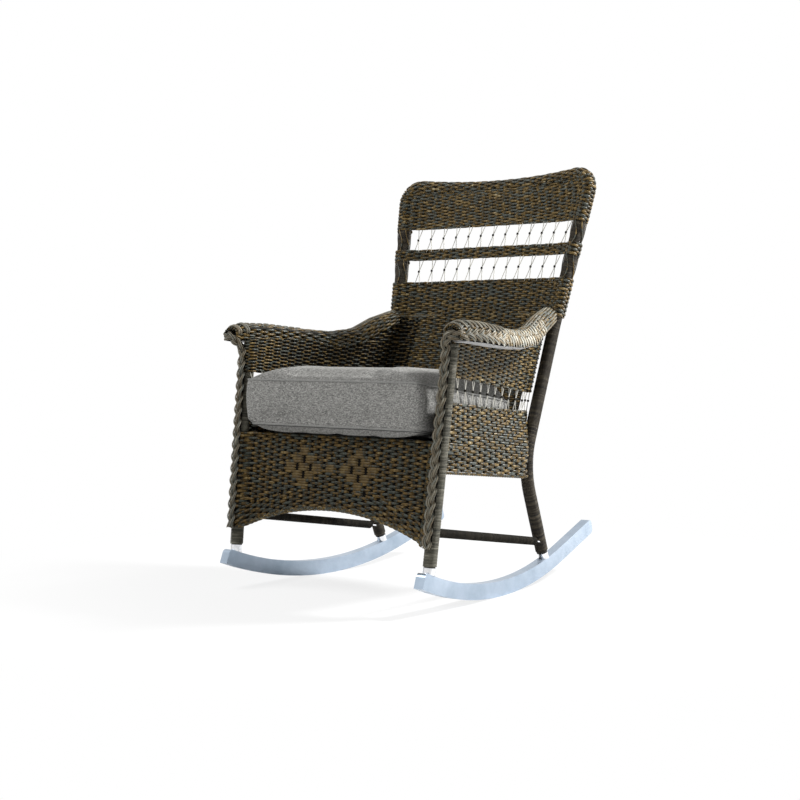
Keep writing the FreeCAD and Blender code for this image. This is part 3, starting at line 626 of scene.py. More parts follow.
def side_grid(low, high, pitch):
    count = max(2, int(round((high[0] - low[0] + high[1] - low[1]) / 2 / pitch)))
    rows = []
    for share in (np.arange(count) + 0.5) / count:
        route = side_route(mix(low[0], high[0], share), mix(low[1], high[1], share))
        rows.append(even(route, SIDE_STAKES * STAKE_SAMPLES + 1))
    return over_seat_rail(np.stack(rows))


def over_seat_rail(points):
    # the rows bulge outwards where the seat's side rail lies in their way
    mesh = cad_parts["side_seat_rail_right"].data
    verts = np.empty(len(mesh.vertices) * 3)
    mesh.vertices.foreach_get("co", verts)
    verts = verts.reshape(-1, 3) / MM
    in_front = verts[:, 1] < verts[:, 1].mean()
    front, rear = verts[in_front].mean(axis=0), verts[~in_front].mean(axis=0)
    share = np.clip((points[..., 1:2] - front[1]) / (rear[1] - front[1]), 0, 1)
    rail = mix(front, rear, share)
    clear = np.sqrt(np.clip(RAIL_COVER ** 2 - (points[..., 2] - rail[..., 2]) ** 2, 0, None))
    need = np.clip(rail[..., 0] + clear - points[..., 0], 0, RAIL_COVER)
    points[..., 0] += need * (clear > 0) * (points[..., 1] < rear[1])
    return points


def outward_normal(points):
    # square to the rows: towards the front on the back, outwards on the sides and round the posts
    return unit(np.cross(tangents(points), UP))


def side_band(bundle, low, high, pitch, place):
    points = side_grid(low, high, pitch)
    normal = place(outward_normal(points))
    weave_rows(bundle, place(points), normal, np.linspace(0, SIDE_STAKES, points.shape[1]), pitch * ROW_FILL)
    return place(points)


def side_stakes(bundle, low, high, place):
    ends = [even(side_route(*edge), SIDE_STAKES + 1) for edge in (low, high)]
    rows = mix(*ends, np.linspace(0, 1, 8)[:, None, None])
    add_stakes(bundle, place(rows), place(outward_normal(rows)))


# Materials

def new_material(name):
    material = bpy.data.materials.new(name)
    material.use_nodes = True
    tree = material.node_tree
    shader = tree.nodes["Principled BSDF"]
    return material, tree, shader


def node(tree, kind, **values):
    made = tree.nodes.new(kind)
    for key, value in values.items():
        if key in made.inputs:
            made.inputs[key].default_value = value
        else:
            setattr(made, key, value)
    return made


def ramp(tree, factor, stops):
    made = tree.nodes.new("ShaderNodeValToRGB")
    made.color_ramp.elements[0].position, made.color_ramp.elements[0].color = stops[0][0], (*stops[0][1], 1)
    made.color_ramp.elements[1].position, made.color_ramp.elements[1].color = stops[-1][0], (*stops[-1][1], 1)
    for place, colour in stops[1:-1]:
        made.color_ramp.elements.new(place).color = (*colour, 1)
    tree.links.new(factor, made.inputs[0])
    return made.outputs[0]


def stretched_noise(tree, source, scale, **settings):
    # noise with a scale of its own along each axis
    stretch = node(tree, "ShaderNodeVectorMath", operation="MULTIPLY")
    stretch.inputs[1].default_value = scale
    tree.links.new(source, stretch.inputs[0])
    noise = node(tree, "ShaderNodeTexNoise", Scale=1.0, **settings)
    tree.links.new(stretch.outputs[0], noise.inputs["Vector"])
    return noise.outputs[0]


def finish_material(tree, shader, colour, height, relief, roughness, shine):
    # relief is the bump's strength and its depth in metres
    bump = node(tree, "ShaderNodeBump", Strength=relief[0], Distance=relief[1])
    tree.links.new(height, bump.inputs["Height"])
    tree.links.new(bump.outputs[0], shader.inputs["Normal"])
    tree.links.new(colour, shader.inputs["Base Color"])
    shader.inputs["Roughness"].default_value = roughness
    shader.inputs["Specular IOR Level"].default_value = shine


def strand_material(name, stops, roughness, streak=1.0, spread=1.0, accent=None, shine=0.18):
    # each strand has its own colours, in streaks along its length
    material, tree, shader = new_material(name)
    place = node(tree, "ShaderNodeAttribute", attribute_name="strand").outputs["Vector"]
    tone = stretched_noise(tree, place, (streak, 37.0, spread), Detail=3.0, Roughness=0.6)
    colour = ramp(tree, tone, stops)
    if accent:
        marked = node(tree, "ShaderNodeAttribute", attribute_name="accent")
        blend = node(tree, "ShaderNodeMix", data_type="RGBA")
        tree.links.new(marked.outputs["Fac"], blend.inputs[0])
        tree.links.new(colour, blend.inputs[6])
        tree.links.new(ramp(tree, tone, accent), blend.inputs[7])
        colour = blend.outputs[2]
    grain = stretched_noise(tree, place, (6.0, 91.0, 9.0), Detail=2.0)
    finish_material(tree, shader, colour, grain, (0.25, 0.0006), roughness, shine)
    return material


def speckled_material(name, low, high, scale, roughness, metallic=0.0, bump=0.1, shine=0.5):
    material, tree, shader = new_material(name)
    where = node(tree, "ShaderNodeTexCoord")
    noise = node(tree, "ShaderNodeTexNoise", Scale=scale, Detail=4.0, Roughness=0.65)
    tree.links.new(where.outputs["Object"], noise.inputs["Vector"])
    colour = ramp(tree, noise.outputs[0], [(0.3, low), (0.7, high)])
    finish_material(tree, shader, colour, noise.outputs[0], (bump, 0.0005), roughness, shine)
    shader.inputs["Metallic"].default_value = metallic
    return material


WOVEN = strand_material("woven_strand", [
    (0.30, (0.026, 0.030, 0.026)), (0.42, (0.098, 0.106, 0.090)), (0.48, (0.022, 0.018, 0.009)),
    (0.56, (0.120, 0.076, 0.022)), (0.64, (0.200, 0.140, 0.055)), (0.74, (0.380, 0.330, 0.205)),
], 0.36, 3.2, 1.4, shine=0.16)
# painted shade: the woven strand's colours at about half their brightness, for the front-facing skirt; its
# accent colours, a steadier golden brown, mark the diamond blocks
SHADED_SKIRT_WOVEN = strand_material("shaded_skirt_strand", [
    (0.30, (0.013, 0.016, 0.013)), (0.42, (0.050, 0.055, 0.044)), (0.48, (0.012, 0.009, 0.004)),
    (0.56, (0.074, 0.044, 0.010)), (0.64, (0.118, 0.076, 0.024)), (0.74, (0.210, 0.170, 0.088)),
], 0.40, 3.2, 1.4, accent=[
    (0.30, (0.024, 0.019, 0.010)), (0.50, (0.080, 0.050, 0.015)), (0.70, (0.110, 0.082, 0.035)),
], shine=0.14)
STAKE = strand_material("stake_strand", [
    (0.35, (0.006, 0.006, 0.005)), (0.65, (0.020, 0.017, 0.012)),
], 0.6, shine=0.08)
# painted shade: near-black sheets behind the weave, for the shadow seen through its holes
SHADE_SHEET = speckled_material("weave_inside", (0.002, 0.002, 0.002), (0.006, 0.005, 0.004), 90, 0.9, shine=0.05)
OPEN = strand_material("openwork_strand", [(0.35, (0.26, 0.26, 0.24)), (0.65, (0.62, 0.60, 0.53))], 0.45)
PLAIT = strand_material("plait_strand", [
    (0.30, (0.24, 0.24, 0.21)), (0.44, (0.56, 0.55, 0.48)), (0.52, (0.30, 0.22, 0.12)),
    (0.60, (0.60, 0.58, 0.50)), (0.70, (0.78, 0.75, 0.65)),
], 0.42)
KHAKI = strand_material("khaki_strand", [
    (0.30, (0.050, 0.054, 0.048)), (0.44, (0.150, 0.152, 0.128)), (0.52, (0.105, 0.080, 0.048)),
    (0.64, (0.210, 0.195, 0.150)), (0.74, (0.360, 0.345, 0.285)),
], 0.42, accent=[
    (0.30, (0.24, 0.24, 0.21)), (0.44, (0.50, 0.49, 0.43)), (0.52, (0.28, 0.21, 0.12)),
    (0.70, (0.66, 0.63, 0.55)),
])
CORD = strand_material("leg_cord", [
    (0.32, (0.036, 0.036, 0.028)), (0.50, (0.090, 0.085, 0.065)), (0.68, (0.185, 0.175, 0.138)),
], 0.6, 0.6)
BLACK_CORD = strand_material("black_cord", [
    (0.32, (0.005, 0.005, 0.004)), (0.50, (0.013, 0.011, 0.008)), (0.68, (0.034, 0.029, 0.021)),
], 0.75, 0.6, shine=0.10)
DARK_CORD = strand_material("dark_cord", [
    (0.32, (0.012, 0.011, 0.010)), (0.50, (0.036, 0.030, 0.022)), (0.68, (0.085, 0.072, 0.052)),
], 0.75, 0.6)
ALUMINIUM = speckled_material("rocker_bar_metal", (0.29, 0.36, 0.44), (0.41, 0.48, 0.57), 14, 0.3, 0.85, 0.05)
BRIGHT = speckled_material("bright_metal", (0.62, 0.63, 0.65), (0.82, 0.82, 0.83), 60, 0.22, 1.0, 0.05)
DARK_METAL = speckled_material(
    "frame_tube_metal", (0.010, 0.010, 0.009), (0.026, 0.024, 0.021), 40, 0.6, shine=0.15)
PLATE = speckled_material("arm_plate_paint", (0.42, 0.42, 0.42), (0.55, 0.55, 0.55), 30, 0.55)
PLASTIC = speckled_material("plug_plastic", (0.015, 0.015, 0.015), (0.035, 0.035, 0.035), 50, 0.5)
WEB = speckled_material("seat_webbing", (0.04, 0.04, 0.038), (0.11, 0.11, 0.10), 420, 0.85, bump=0.5)


def cloth_material():
    # a grey tweed: light and dark yarn in two directions, half of each
    material, tree, shader = new_material("cushion_cloth")
    place = node(tree, "ShaderNodeTexCoord").outputs["Object"]
    warp, weft = [stretched_noise(tree, place, size, Detail=1.5, Roughness=0.6)
                  for size in ((130.0, 560.0, 560.0), (560.0, 130.0, 320.0))]
    half = node(tree, "ShaderNodeMath", operation="MULTIPLY")
    both_halves = node(tree, "ShaderNodeMath", operation="MULTIPLY_ADD")
    half.inputs[1].default_value = both_halves.inputs[1].default_value = 0.5
    tree.links.new(weft, half.inputs[0])
    tree.links.new(warp, both_halves.inputs[0])
    tree.links.new(half.outputs[0], both_halves.inputs[2])
    yarn = both_halves.outputs[0]
    colour = ramp(tree, yarn, [
        (0.38, (0.095, 0.095, 0.090)), (0.50, (0.200, 0.198, 0.188)), (0.62, (0.350, 0.346, 0.328)),
    ])
    finish_material(tree, shader, colour, yarn, (0.5, 0.0008), 0.92, 0.25)
    return material


CLOTH = cloth_material()
PIPING = speckled_material("cushion_piping", (0.11, 0.11, 0.105), (0.30, 0.30, 0.285), 700, 0.9, bump=0.5)
# painted shade: a dark grey for the strands under the piping
SEAM_SHADE = speckled_material("cushion_seam_shade", (0.05, 0.05, 0.05), (0.09, 0.09, 0.085), 700, 0.9)


# Pieces of the woven shell

def make_back():
    bands = [
        ("back_weave_low", (BACK_BANDS[0][0], NOTCH_Z), "back_panel_lower"),
        ("back_weave_shoulder", (NOTCH_Z - BACK_LAP, BACK_BANDS[0][1]), "back_panel_lower"),
        ("back_weave_mid", BACK_BANDS[1], "back_panel_middle"),
        ("back_weave_top", BACK_BANDS[2], "back_panel_top"),
    ]
    dark = Bundle(15)
    for index, (name, (low, high), node_name) in enumerate(bands):
        rows = Bundle(11 + index)
        points = back_band(rows, low, high, upper=index > 0)
        rows.piece(name, WOVEN, node_name)
        add_shade_sheet(name + "_inside", [points], node_name)
        add_stakes(dark, points[:, ::STAKE_SAMPLES], outward_normal(points)[:, ::STAKE_SAMPLES])
    dark.piece("back_stakes", STAKE, *[node_name for _, _, node_name in bands])


def make_ledges():
    # level strands from the corner of the shell back to the wider back above it
    z = np.array([NOTCH_Z - LEDGE_DROP])
    low = low_back_points(z, LOW_BACK_STAKES)[0]
    high = high_back_points(z + bow_at(z), post_place(z), HIGH_BACK_STAKES)[0]
    low = np.concatenate([low[low[:, 0] > LEDGE_X], corner_route(z[0])[::-1][1:]])
    high = high[high[:, 0] > LEDGE_X]
    high = high[:np.argmax(high[:, 0]) + 1]
    share = np.linspace(0, 1, LEDGE_ROWS)[:, None, None]
    grid = mix(even(low, LEDGE_SAMPLES), even(high, LEDGE_SAMPLES), share)
    up = np.broadcast_to(UP, grid.shape)
    rows = Bundle(19)
    for _, _, place in SIDES:
        weave_rows(rows, place(grid), up, np.linspace(0, LEDGE_STAKES, LEDGE_SAMPLES))
    rows.piece("shoulder_ledges", WOVEN, "back_panel_lower")
    add_shade_sheet("shoulder_ledges_inside", [grid, mirror(grid)], "back_panel_lower")


def wing_rows(low, high, pitch):
    # from the underside of the arm's rear end round the corner, up to where the back passes on to the post
    _, _, under, _ = arm_at(np.array(WING_Y))
    rows = []
    for z in rows_between(low, high, pitch):
        corner = corner_route(z)
        start_y = min(float(np.interp(z - WING_DROP, under, WING_Y)), corner[0, 1] - WING_LEAST)
        start_x = mix(float(panel_x(start_y, z)), corner[0, 0], 0.3)
        rows.append(even(np.concatenate([[[start_x, start_y, z]], corner]), WING_STAKES * STAKE_SAMPLES + 1))
    return np.stack(rows)


def add_wing(rows, dark, place):
    points = wing_rows(SIDE_HIGH_BAND[1][1] - WING_LAP, NOTCH_Z, SIDE_HIGH_ROW_PITCH)
    points, normal = place(points), place(outward_normal(points))
    phase = np.linspace(0, WING_STAKES, points.shape[1])
    weave_rows(rows, points, normal, phase, SIDE_HIGH_ROW_PITCH * ROW_FILL)
    add_stakes(dark, points[:, ::STAKE_SAMPLES], normal[:, ::STAKE_SAMPLES])
    return points


def make_sides():
    for left, tag, place in SIDES:
        low_node, high_node = "side_panel_lower_" + tag, "side_panel_upper_" + tag
        lower, upper, dark = Bundle(21 + left), Bundle(23 + left), Bundle(25 + left)
        grid = side_band(lower, *SIDE_LOW_BAND, SIDE_LOW_ROW_PITCH, place)
        add_shade_sheet("side_weave_low_inside_" + tag, [grid], low_node)
        lower.piece("side_weave_low_" + tag, WOVEN, low_node)
        grids = [side_band(upper, *SIDE_HIGH_BAND, SIDE_HIGH_ROW_PITCH, place), add_wing(upper, dark, place)]
        add_shade_sheet("side_weave_high_inside_" + tag, grids, high_node)
        upper.piece("side_weave_high_" + tag, WOVEN, high_node)
        side_stakes(dark, *SIDE_LOW_BAND, place)
        side_stakes(dark, *SIDE_HIGH_BAND, place)
        dark.piece("side_stakes_" + tag, STAKE, low_node, high_node)


# Openwork: thin strands that cross at a knot

def open_unit(strands, knots, low, high, across):
    # low and high are the middles of one unit's two ends, across points along the band
    up = unit(high - low)
    face = unit(np.cross(across, high - low))
    knot = mix(low, high, OPEN_KNOT_SHARE)
    share = np.linspace(0, 1, 13)[:, None]
    pull = np.exp(-((share - OPEN_KNOT_SHARE) / OPEN_PULL) ** 2)
    for top, bottom in zip(OPEN_TOP, OPEN_BOTTOM[::-1]):
        ends = [low + across * bottom - up * OPEN_TUCK, high + across * top + up * OPEN_TUCK]
        path = mix(*ends, share) + (knot - mix(*ends, OPEN_KNOT_SHARE)) * pull
        normal = np.broadcast_to(face, path.shape)
        strands.add(path, unit(np.cross(normal, tangents(path))), normal, OPEN_HALF_WIDTH, OPEN_HALF_THICK)
    turn = np.linspace(0, 2 * math.pi, 12, endpoint=False)[:, None]
    radial = unit(across * np.cos(turn) + face * np.sin(turn))
    for shift in (-OPEN_KNOT_SHIFT, OPEN_KNOT_SHIFT):
        ring = knot + up * shift + radial * OPEN_KNOT_RADIUS
        knots.add(ring, np.broadcast_to(up, ring.shape), radial, *OPEN_KNOT_CORD, closed=True)


def make_back_openwork():
    names = (("back_open_low", "back_openwork_lower"), ("back_open_high", "back_openwork_upper"))
    for (name, node_name), (low_z, high_z, count) in zip(names, BACK_OPEN_BANDS):
        strands, knots = Bundle(len(name)), Bundle(len(name) + 1)
        half_low, half_high = [float(post_at(z)[0]) - BACK_WRAP + 1 for z in (low_z, high_z)]
        for index in range(count):
            x = (index - (count - 1) / 2) * BACK_OPEN_PITCH
            ends = []
            for z, half, here in ((low_z, half_low, x), (high_z, half_high, x * half_high / half_low)):
                rise = bow_at(z) * (1 - (here / half) ** 2)
                ends.append(np.array([here, back_y(here, z), z + rise]))
            across = unit(np.array([1.0, back_y(x + 1, low_z) - back_y(x, low_z), 0]))
            open_unit(strands, knots, *ends, across)
        strands.piece(name, OPEN, node_name, slot="openwork_strand")
        knots.piece(name + "_knots", STAKE, node_name, slot="openwork_strand")


def make_side_openwork():
    for left, tag, place in SIDES:
        strands, knots = Bundle(31 + left), Bundle(33 + left)
        low = resample(side_route(*SIDE_LOW_BAND[1]), 1.0)
        high = even(side_route(*SIDE_HIGH_BAND[0]), len(low))
        last = len(low) - 1
        count = int(last / SIDE_OPEN_PITCH)
        for index in range(count):
            spot = int((index + 0.5) / count * last)
            across = unit(low[min(spot + 3, last)] - low[max(spot - 3, 0)])
            open_unit(strands, knots, place(low[spot]), place(high[spot]), place(across))
        strands.piece("side_open_" + tag, OPEN, "side_openwork_" + tag, slot="openwork_strand")
        knots.piece("side_open_knots_" + tag, STAKE, "side_openwork_" + tag, slot="openwork_strand")


# Skirt: level rows with two woven diamonds, and rows that follow the arch below them

def skirt_y(z, x):
    # the ends of the rows come forward on to the legs
    leg = front_leg_at(z)
    start, run = [share * LEG_WRAP for share in SKIRT_TURN_SHARES]
    share = smooth_step((np.abs(x) - leg[..., 0] + start) / run)
    return leg[..., 1] - share * (LEG_WRAP + SKIRT_STAND)


def skirt_arch(x):
    reach = float(front_leg_at(SKIRT_FOOT_Z)[0])
    rise = SKIRT_ARCH_Z - SKIRT_FOOT_Z
    radius = (reach ** 2 + rise ** 2) / (2 * rise)
    return SKIRT_ARCH_Z - radius + np.sqrt(radius ** 2 - np.clip(np.abs(x), 0, reach) ** 2)


def skirt_reach(z):
    return front_leg_at(z)[..., 0] - SKIRT_END_SHARE * LEG_WRAP


def diamond_parity(row, x):
    # three rows in step make one raised block; blocks stand in two diamonds
    plain = np.full(x.shape, row % 2, float) + NO_ACCENT
    group = (row - DIAMOND_FIRST_ROW) // 3
    if not 0 <= group < 5:
        return plain
    step = abs(group - 2)
    inside = np.zeros(x.shape, bool)
    for centre in DIAMOND_X:
        inside |= np.abs(x - centre) < (2.5 - step) * STAKE_PITCH
    if step == 0:
        inside |= np.abs(x - DIAMOND_MIDDLE) < 0.5 * STAKE_PITCH
    return np.where(inside, step % 2, plain)


def skirt_rows(rows, x_low, x_high, height, row):
    # one row from x_low to x_high, its height given as a function of x
    x = np.linspace(x_low, x_high, max(8, int((x_high - x_low) / STAKE_PITCH * 8)))
    z = height(x)
    points = np.stack([x, skirt_y(z, x), z], -1)[None]
    normal = np.broadcast_to(SKIRT_NORMAL, points.shape)
    parity = diamond_parity(row, x)[None]
    weave_rows(rows, points, normal, (x - DIAMOND_MIDDLE) / STAKE_PITCH, SKIRT_ROW_PITCH * ROW_FILL, parity,
               accent=parity < NO_ACCENT)


def make_skirt():
    rows = Bundle(41)
    band = SKIRT_ARCH_ROWS * SKIRT_ROW_PITCH
    count = int((SKIRT_TOP_Z - SKIRT_FOOT_Z - band) / SKIRT_ROW_PITCH)
    for row in range(count):
        z = SKIRT_TOP_Z - (row + 0.5) * SKIRT_ROW_PITCH
        reach = float(skirt_reach(z))
        x = np.linspace(-reach, reach, 401)
        clear = x[z > skirt_arch(x) + band]
        level = lambda x, z=z: np.full(x.shape, z)
        if len(clear) == len(x):
            skirt_rows(rows, -reach, reach, level, row)
            continue
        inner = np.min(np.abs(clear)) if len(clear) else reach
        if reach - inner > STAKE_PITCH / 2:
            skirt_rows(rows, inner, reach, level, row)
            skirt_rows(rows, -reach, -inner, level, row)
    for row in range(SKIRT_ARCH_ROWS):
        rise = (row + 0.5) * SKIRT_ROW_PITCH
        reach = float(skirt_reach(SKIRT_FOOT_Z + rise))
        skirt_rows(rows, -reach, reach, lambda x, rise=rise: skirt_arch(x) + rise, row + 100)
    rows.piece("skirt_weave", SHADED_SKIRT_WOVEN, "front_skirt")
    x = np.linspace(-1, 1, 60)[None] * skirt_reach(np.linspace(SKIRT_FOOT_Z, SKIRT_TOP_Z, 30))[:, None]
    z = mix(skirt_arch(x), SKIRT_TOP_Z - 2, np.linspace(0.02, 0.97, 30)[:, None])
    add_shade_sheet("skirt_inside", [np.stack([x, skirt_y(z, x), z], -1)], "front_skirt")
    dark = Bundle(42)
    reach = int(float(skirt_reach(SKIRT_TOP_Z)) / STAKE_PITCH)
    stakes = []
    for index in range(-reach, reach + 1):
        x = DIAMOND_MIDDLE + (index + 0.5) * STAKE_PITCH
        if abs(x) > float(skirt_reach(SKIRT_FOOT_Z)):
            continue
        z = np.linspace(float(skirt_arch(x)), SKIRT_TOP_Z, 12)
        stakes.append(np.stack([np.full(12, x), skirt_y(z, x), z], -1))
    stakes = np.stack(stakes, 1)
    add_stakes(dark, stakes, np.broadcast_to(SKIRT_NORMAL, stakes.shape))
    dark.piece("skirt_stakes", STAKE, "front_skirt")


# Routes of the bent tubes

def post_route(low_z, high_z):
    knee = fillet(REAR_FOOT, BEND, WAIST, BEND_RADIUS)
    turn = fillet(BEND, WAIST, CORNER, WAIST_RADIUS)
    route = resample(np.concatenate([[REAR_FOOT], knee, turn, rail_corner()[:1]]), 1.0)
    keep = (route[:, 2] >= low_z) & (route[:, 2] <= high_z)
    return resample(route[keep], 4.0)


def rail_axis():
    return np.array([0.0, math.cos(RAIL_TILT), -math.sin(RAIL_TILT)])


def rail_corner():
    # the end of the straight post and the rounded corner above it
    down = CORNER + unit(WAIST - CORNER) * CORNER[0]
    start_run = np.array([-math.cos(RAIL_TURN), 0, 0]) + rail_axis() * math.sin(RAIL_TURN)
    return fillet(down, CORNER, CORNER + start_run * CORNER[0], CORNER_RADIUS, 14)


def rail_route():
    # the corner, the rail's shallow arc, and the other corner
    arc = rail_corner()
    start = arc[-1]
    radius = start[0] / math.sin(RAIL_TURN)
    turn = np.linspace(RAIL_TURN, -RAIL_TURN, 60)[1:-1, None]
    rise = rail_axis() * radius * (np.cos(turn) - math.cos(RAIL_TURN))
    middle = start * [0, 1, 1] + np.sin(turn) * [radius, 0, 0] + rise
    return resample(np.concatenate([arc, middle, mirror(arc)[::-1]]), 2.0)


def carried_frames(route, first):
    # two directions square to a route, carried along it without twist
    along = tangents(route)
    side = np.empty_like(route)
    side[0] = unit(first - along[0] * (first @ along[0]))
    for index in range(1, len(route)):
        turned = side[index - 1] - along[index] * (side[index - 1] @ along[index])
        side[index] = unit(turned)
    return along, side, np.cross(along, side)


# Wound cord, ropes and woven sleeves on tubes

def add_coil(bundle, route, radius, pitch, half_width, half_thick):
    # one strand wound round a tube, turn against turn
    fine = resample(route, 1.0)
    along, first, second = carried_frames(fine, np.array([0.3, 1.0, 0.1]))
    length = lengths_along(fine)
    place = np.linspace(0, length[-1], int(length[-1] / pitch * COIL_STEPS))
    fine, along, first, second = [read_at(values, length, place) for values in (fine, along, first, second)]
    turn = (place / pitch * 2 * math.pi)[:, None]
    radial = unit(first * np.cos(turn) + second * np.sin(turn))
    bundle.add(fine + radial * radius, unit(along), radial, half_width, half_thick)


def add_rope(bundle, route, radius):
    # strands twisted round one another
    route = resample(route, 2.0)
    _, side, up = carried_frames(route, UP)
    for index in range(ROPE_STRANDS):
        turn = (2 * math.pi * (lengths_along(route) / ROPE_PITCH + index / ROPE_STRANDS))[:, None]
        radial = side * np.cos(turn) + up * np.sin(turn)
        path = route + radial * radius * ROPE_SWING_SHARE
        half = [radius * share for share in ROPE_STRAND_SHARES]
        bundle.add(path, unit(np.cross(tangents(path), radial)), radial, *half)


def add_sleeve_lengths(bundle, dark, route, first):
    # rows that run along a rail, over rings
    along, side, up = carried_frames(route, first)
    turn = (np.arange(SLEEVE_ROWS) * 2 * math.pi / SLEEVE_ROWS)[:, None, None]
    radial = side * np.cos(turn) + up * np.sin(turn)
    length = lengths_along(route)
    stakes = round(length[-1] / STAKE_PITCH)
    half_width = SLEEVE_RADIUS * math.pi / SLEEVE_ROWS * SLEEVE_OVERLAP
    weave_rows(bundle, route + radial * SLEEVE_RADIUS, radial, length / length[-1] * stakes, half_width)
    around = np.linspace(0, 2 * math.pi, 20, endpoint=False)[:, None]
    for index in range(stakes + 1):
        spot = min(int(index / stakes * (len(route) - 1) + 0.5), len(route) - 1)
        out = side[spot] * np.cos(around) + up[spot] * np.sin(around)
        dark.add(route[spot] + out * SLEEVE_RADIUS, np.broadcast_to(along[spot], out.shape), out,
                 *STAKE_STRAND, closed=True)


def make_posts():
    # where the back is open, its posts show their dark cord with a few thin strands along it
    for left, tag, place in SIDES:
        cord, thin = Bundle(51 + left), Bundle(56 + left)
        for low, high, _ in BACK_OPEN_BANDS:
            route = place(post_route(low - BARE_POST_REACH, high + BARE_POST_REACH))
            add_coil(cord, route, BARE_POST_RADIUS, LEG_RIB_PITCH, LEG_RIB_PITCH * COIL_WIDTH_SHARE,
                     THIN_COIL_HALF_THICK)
            along, side, up = carried_frames(route, np.array([0.0, -1.0, 0.0]))
            sway = np.linspace(0, 4 * math.pi / 3, len(route))[:, None]
            for index in range(POST_STRANDS):
                turn = 2 * math.pi * index / POST_STRANDS + POST_STRAND_SWAY * np.sin(sway + index)
                out = side * np.cos(turn) + up * np.sin(turn)
                path = route + out * (BARE_POST_RADIUS + POST_STRAND_LIFT)
                thin.add(path, unit(np.cross(out, along)), out, *POST_STRAND)
        cord.piece("post_cord_" + tag, DARK_CORD, "back_post_wrap_" + tag)
        thin.piece("post_strands_" + tag, WOVEN, "back_post_wrap_" + tag)


def make_rail():
    dark, rows = Bundle(55), Bundle(53)
    arc = rail_corner()[::-1]
    whole = rail_route()
    keep = np.abs(whole[:, 0]) < np.interp(CORNER_LEFT + RAIL_LAP, lengths_along(arc), arc[:, 0])
    route = resample(whole[keep], 3.5)
    first = np.array([0.0, -1.0, 0.0])
    add_sleeve_lengths(rows, dark, route, first)
    around = np.linspace(0, 2 * math.pi, 25)[:, None, None]
    _, side, up = carried_frames(route, first)
    grid = route + (side * np.cos(around) + up * np.sin(around)) * SLEEVE_RADIUS * 0.98
    add_shade_sheet("rail_inside", [grid], "top_rail_wrap")
    rows.piece("rail_weave", WOVEN, "top_rail_wrap")
    dark.piece("rail_stakes", STAKE, "top_rail_wrap")


def make_coils():
    leg = unit(FRONT_TOP - FRONT_FOOT)
    start, end = front_leg_at(STRETCHER_FRONT_Z), post_at(STRETCHER_REAR_Z)
    run = unit(end - start)
    bare = FERRULE_LENGTH + COIL_END
    front = np.array([FRONT_FOOT + leg * bare, FRONT_TOP - leg * COIL_END])
    rear = post_route(REAR_FOOT[2] + bare, NOTCH_Z - 1)
    low = np.array([start + run * (LEG_WRAP + 1), end - run * (LEG_WRAP + TAB_LENGTH + 1.5)])
    legs = LEG_WRAP - COIL_SINK, LEG_RIB_PITCH, LEG_RIB_PITCH * COIL_WIDTH_SHARE, COIL_HALF_THICK
    bars = (STRETCHER_WRAP - THIN_COIL_SINK, LEG_RIB_PITCH * THIN_COIL_PITCH_SHARE,
            LEG_RIB_PITCH * THIN_COIL_WIDTH_SHARE, THIN_COIL_HALF_THICK)
    coils = (
        (61, "front_leg", CORD, front, legs), (63, "rear_leg", DARK_CORD, rear, legs),
        (65, "stretcher", BLACK_CORD, low, bars),
    )
    for left, tag, place in SIDES:
        for seed, name, material, route, sizes in coils:
            cord = Bundle(seed + left)
            add_coil(cord, place(route), *sizes)
            cord.piece(name + "_cord_" + tag, material, name + "_wrap_" + tag, slot="leg_cord")


def make_edge_ropes():
    skirt = Bundle(71)
    x = np.linspace(-1, 1, 80) * float(front_leg_at(SKIRT_FOOT_Z)[0] - LEG_WRAP - 1)
    z = skirt_arch(x) - EDGE_ROPE_RADIUS
    route = resample(np.stack([x, skirt_y(z, x), z], -1), 3.0)
    normal = np.broadcast_to(SKIRT_NORMAL, route.shape)
    across = unit(np.cross(normal, tangents(route)))
    add_plait(skirt, route, across, normal, SKIRT_ROPE_REACH, SKIRT_ROPE_PERIOD, SKIRT_ROPE_DEPTH,
              SKIRT_ROPE_STRANDS, SKIRT_ROPE_STRAND_WIDTH)
    skirt.piece("skirt_edge_rope", WOVEN, "skirt_edge_rod", slot="edge_rod")
    edges = Bundle(72)
    front_z, rear_z = [height - EDGE_ROPE_DROP for height in SIDE_LOW_BAND[0]]
    for _, _, place in SIDES:
        add_rope(edges, place(side_route(front_z, rear_z)), EDGE_ROPE_RADIUS)
    x = np.linspace(-1, 1, 60) * float(corner_centre(rear_z)[0])
    add_rope(edges, np.stack([x, back_y(x, rear_z), np.full(60, rear_z)], -1), EDGE_ROPE_RADIUS)
    edges.piece("shell_edge_ropes", WOVEN, "shell_edge_rods", slot="edge_rod")


# Arms

def arm_at(y):
    stations = mix(ARM_Y[0], ARM_Y[1], np.array(ARM_STATION_SHARES))
    inner_at = panel_x(stations, np.full(len(stations), ARM_BASE_Z)) - ARM_OVERHANG
    inner_at = inner_at + ARM_WIDTH * np.array(ARM_INSET_SHARES)
    outer_at = inner_at + ARM_WIDTH * np.array(ARM_WIDTH_SHARES)
    low_at = ARM_BASE_Z - ARM_DIP * np.array(ARM_DIP_SHARES) + ARM_SWEEP * np.array(ARM_SWEEP_SHARES)
    height_at = ARM_HEIGHT * np.array(ARM_HEIGHT_SHARES)
    return [np.interp(y, stations, values) for values in (inner_at, outer_at, low_at, height_at)]


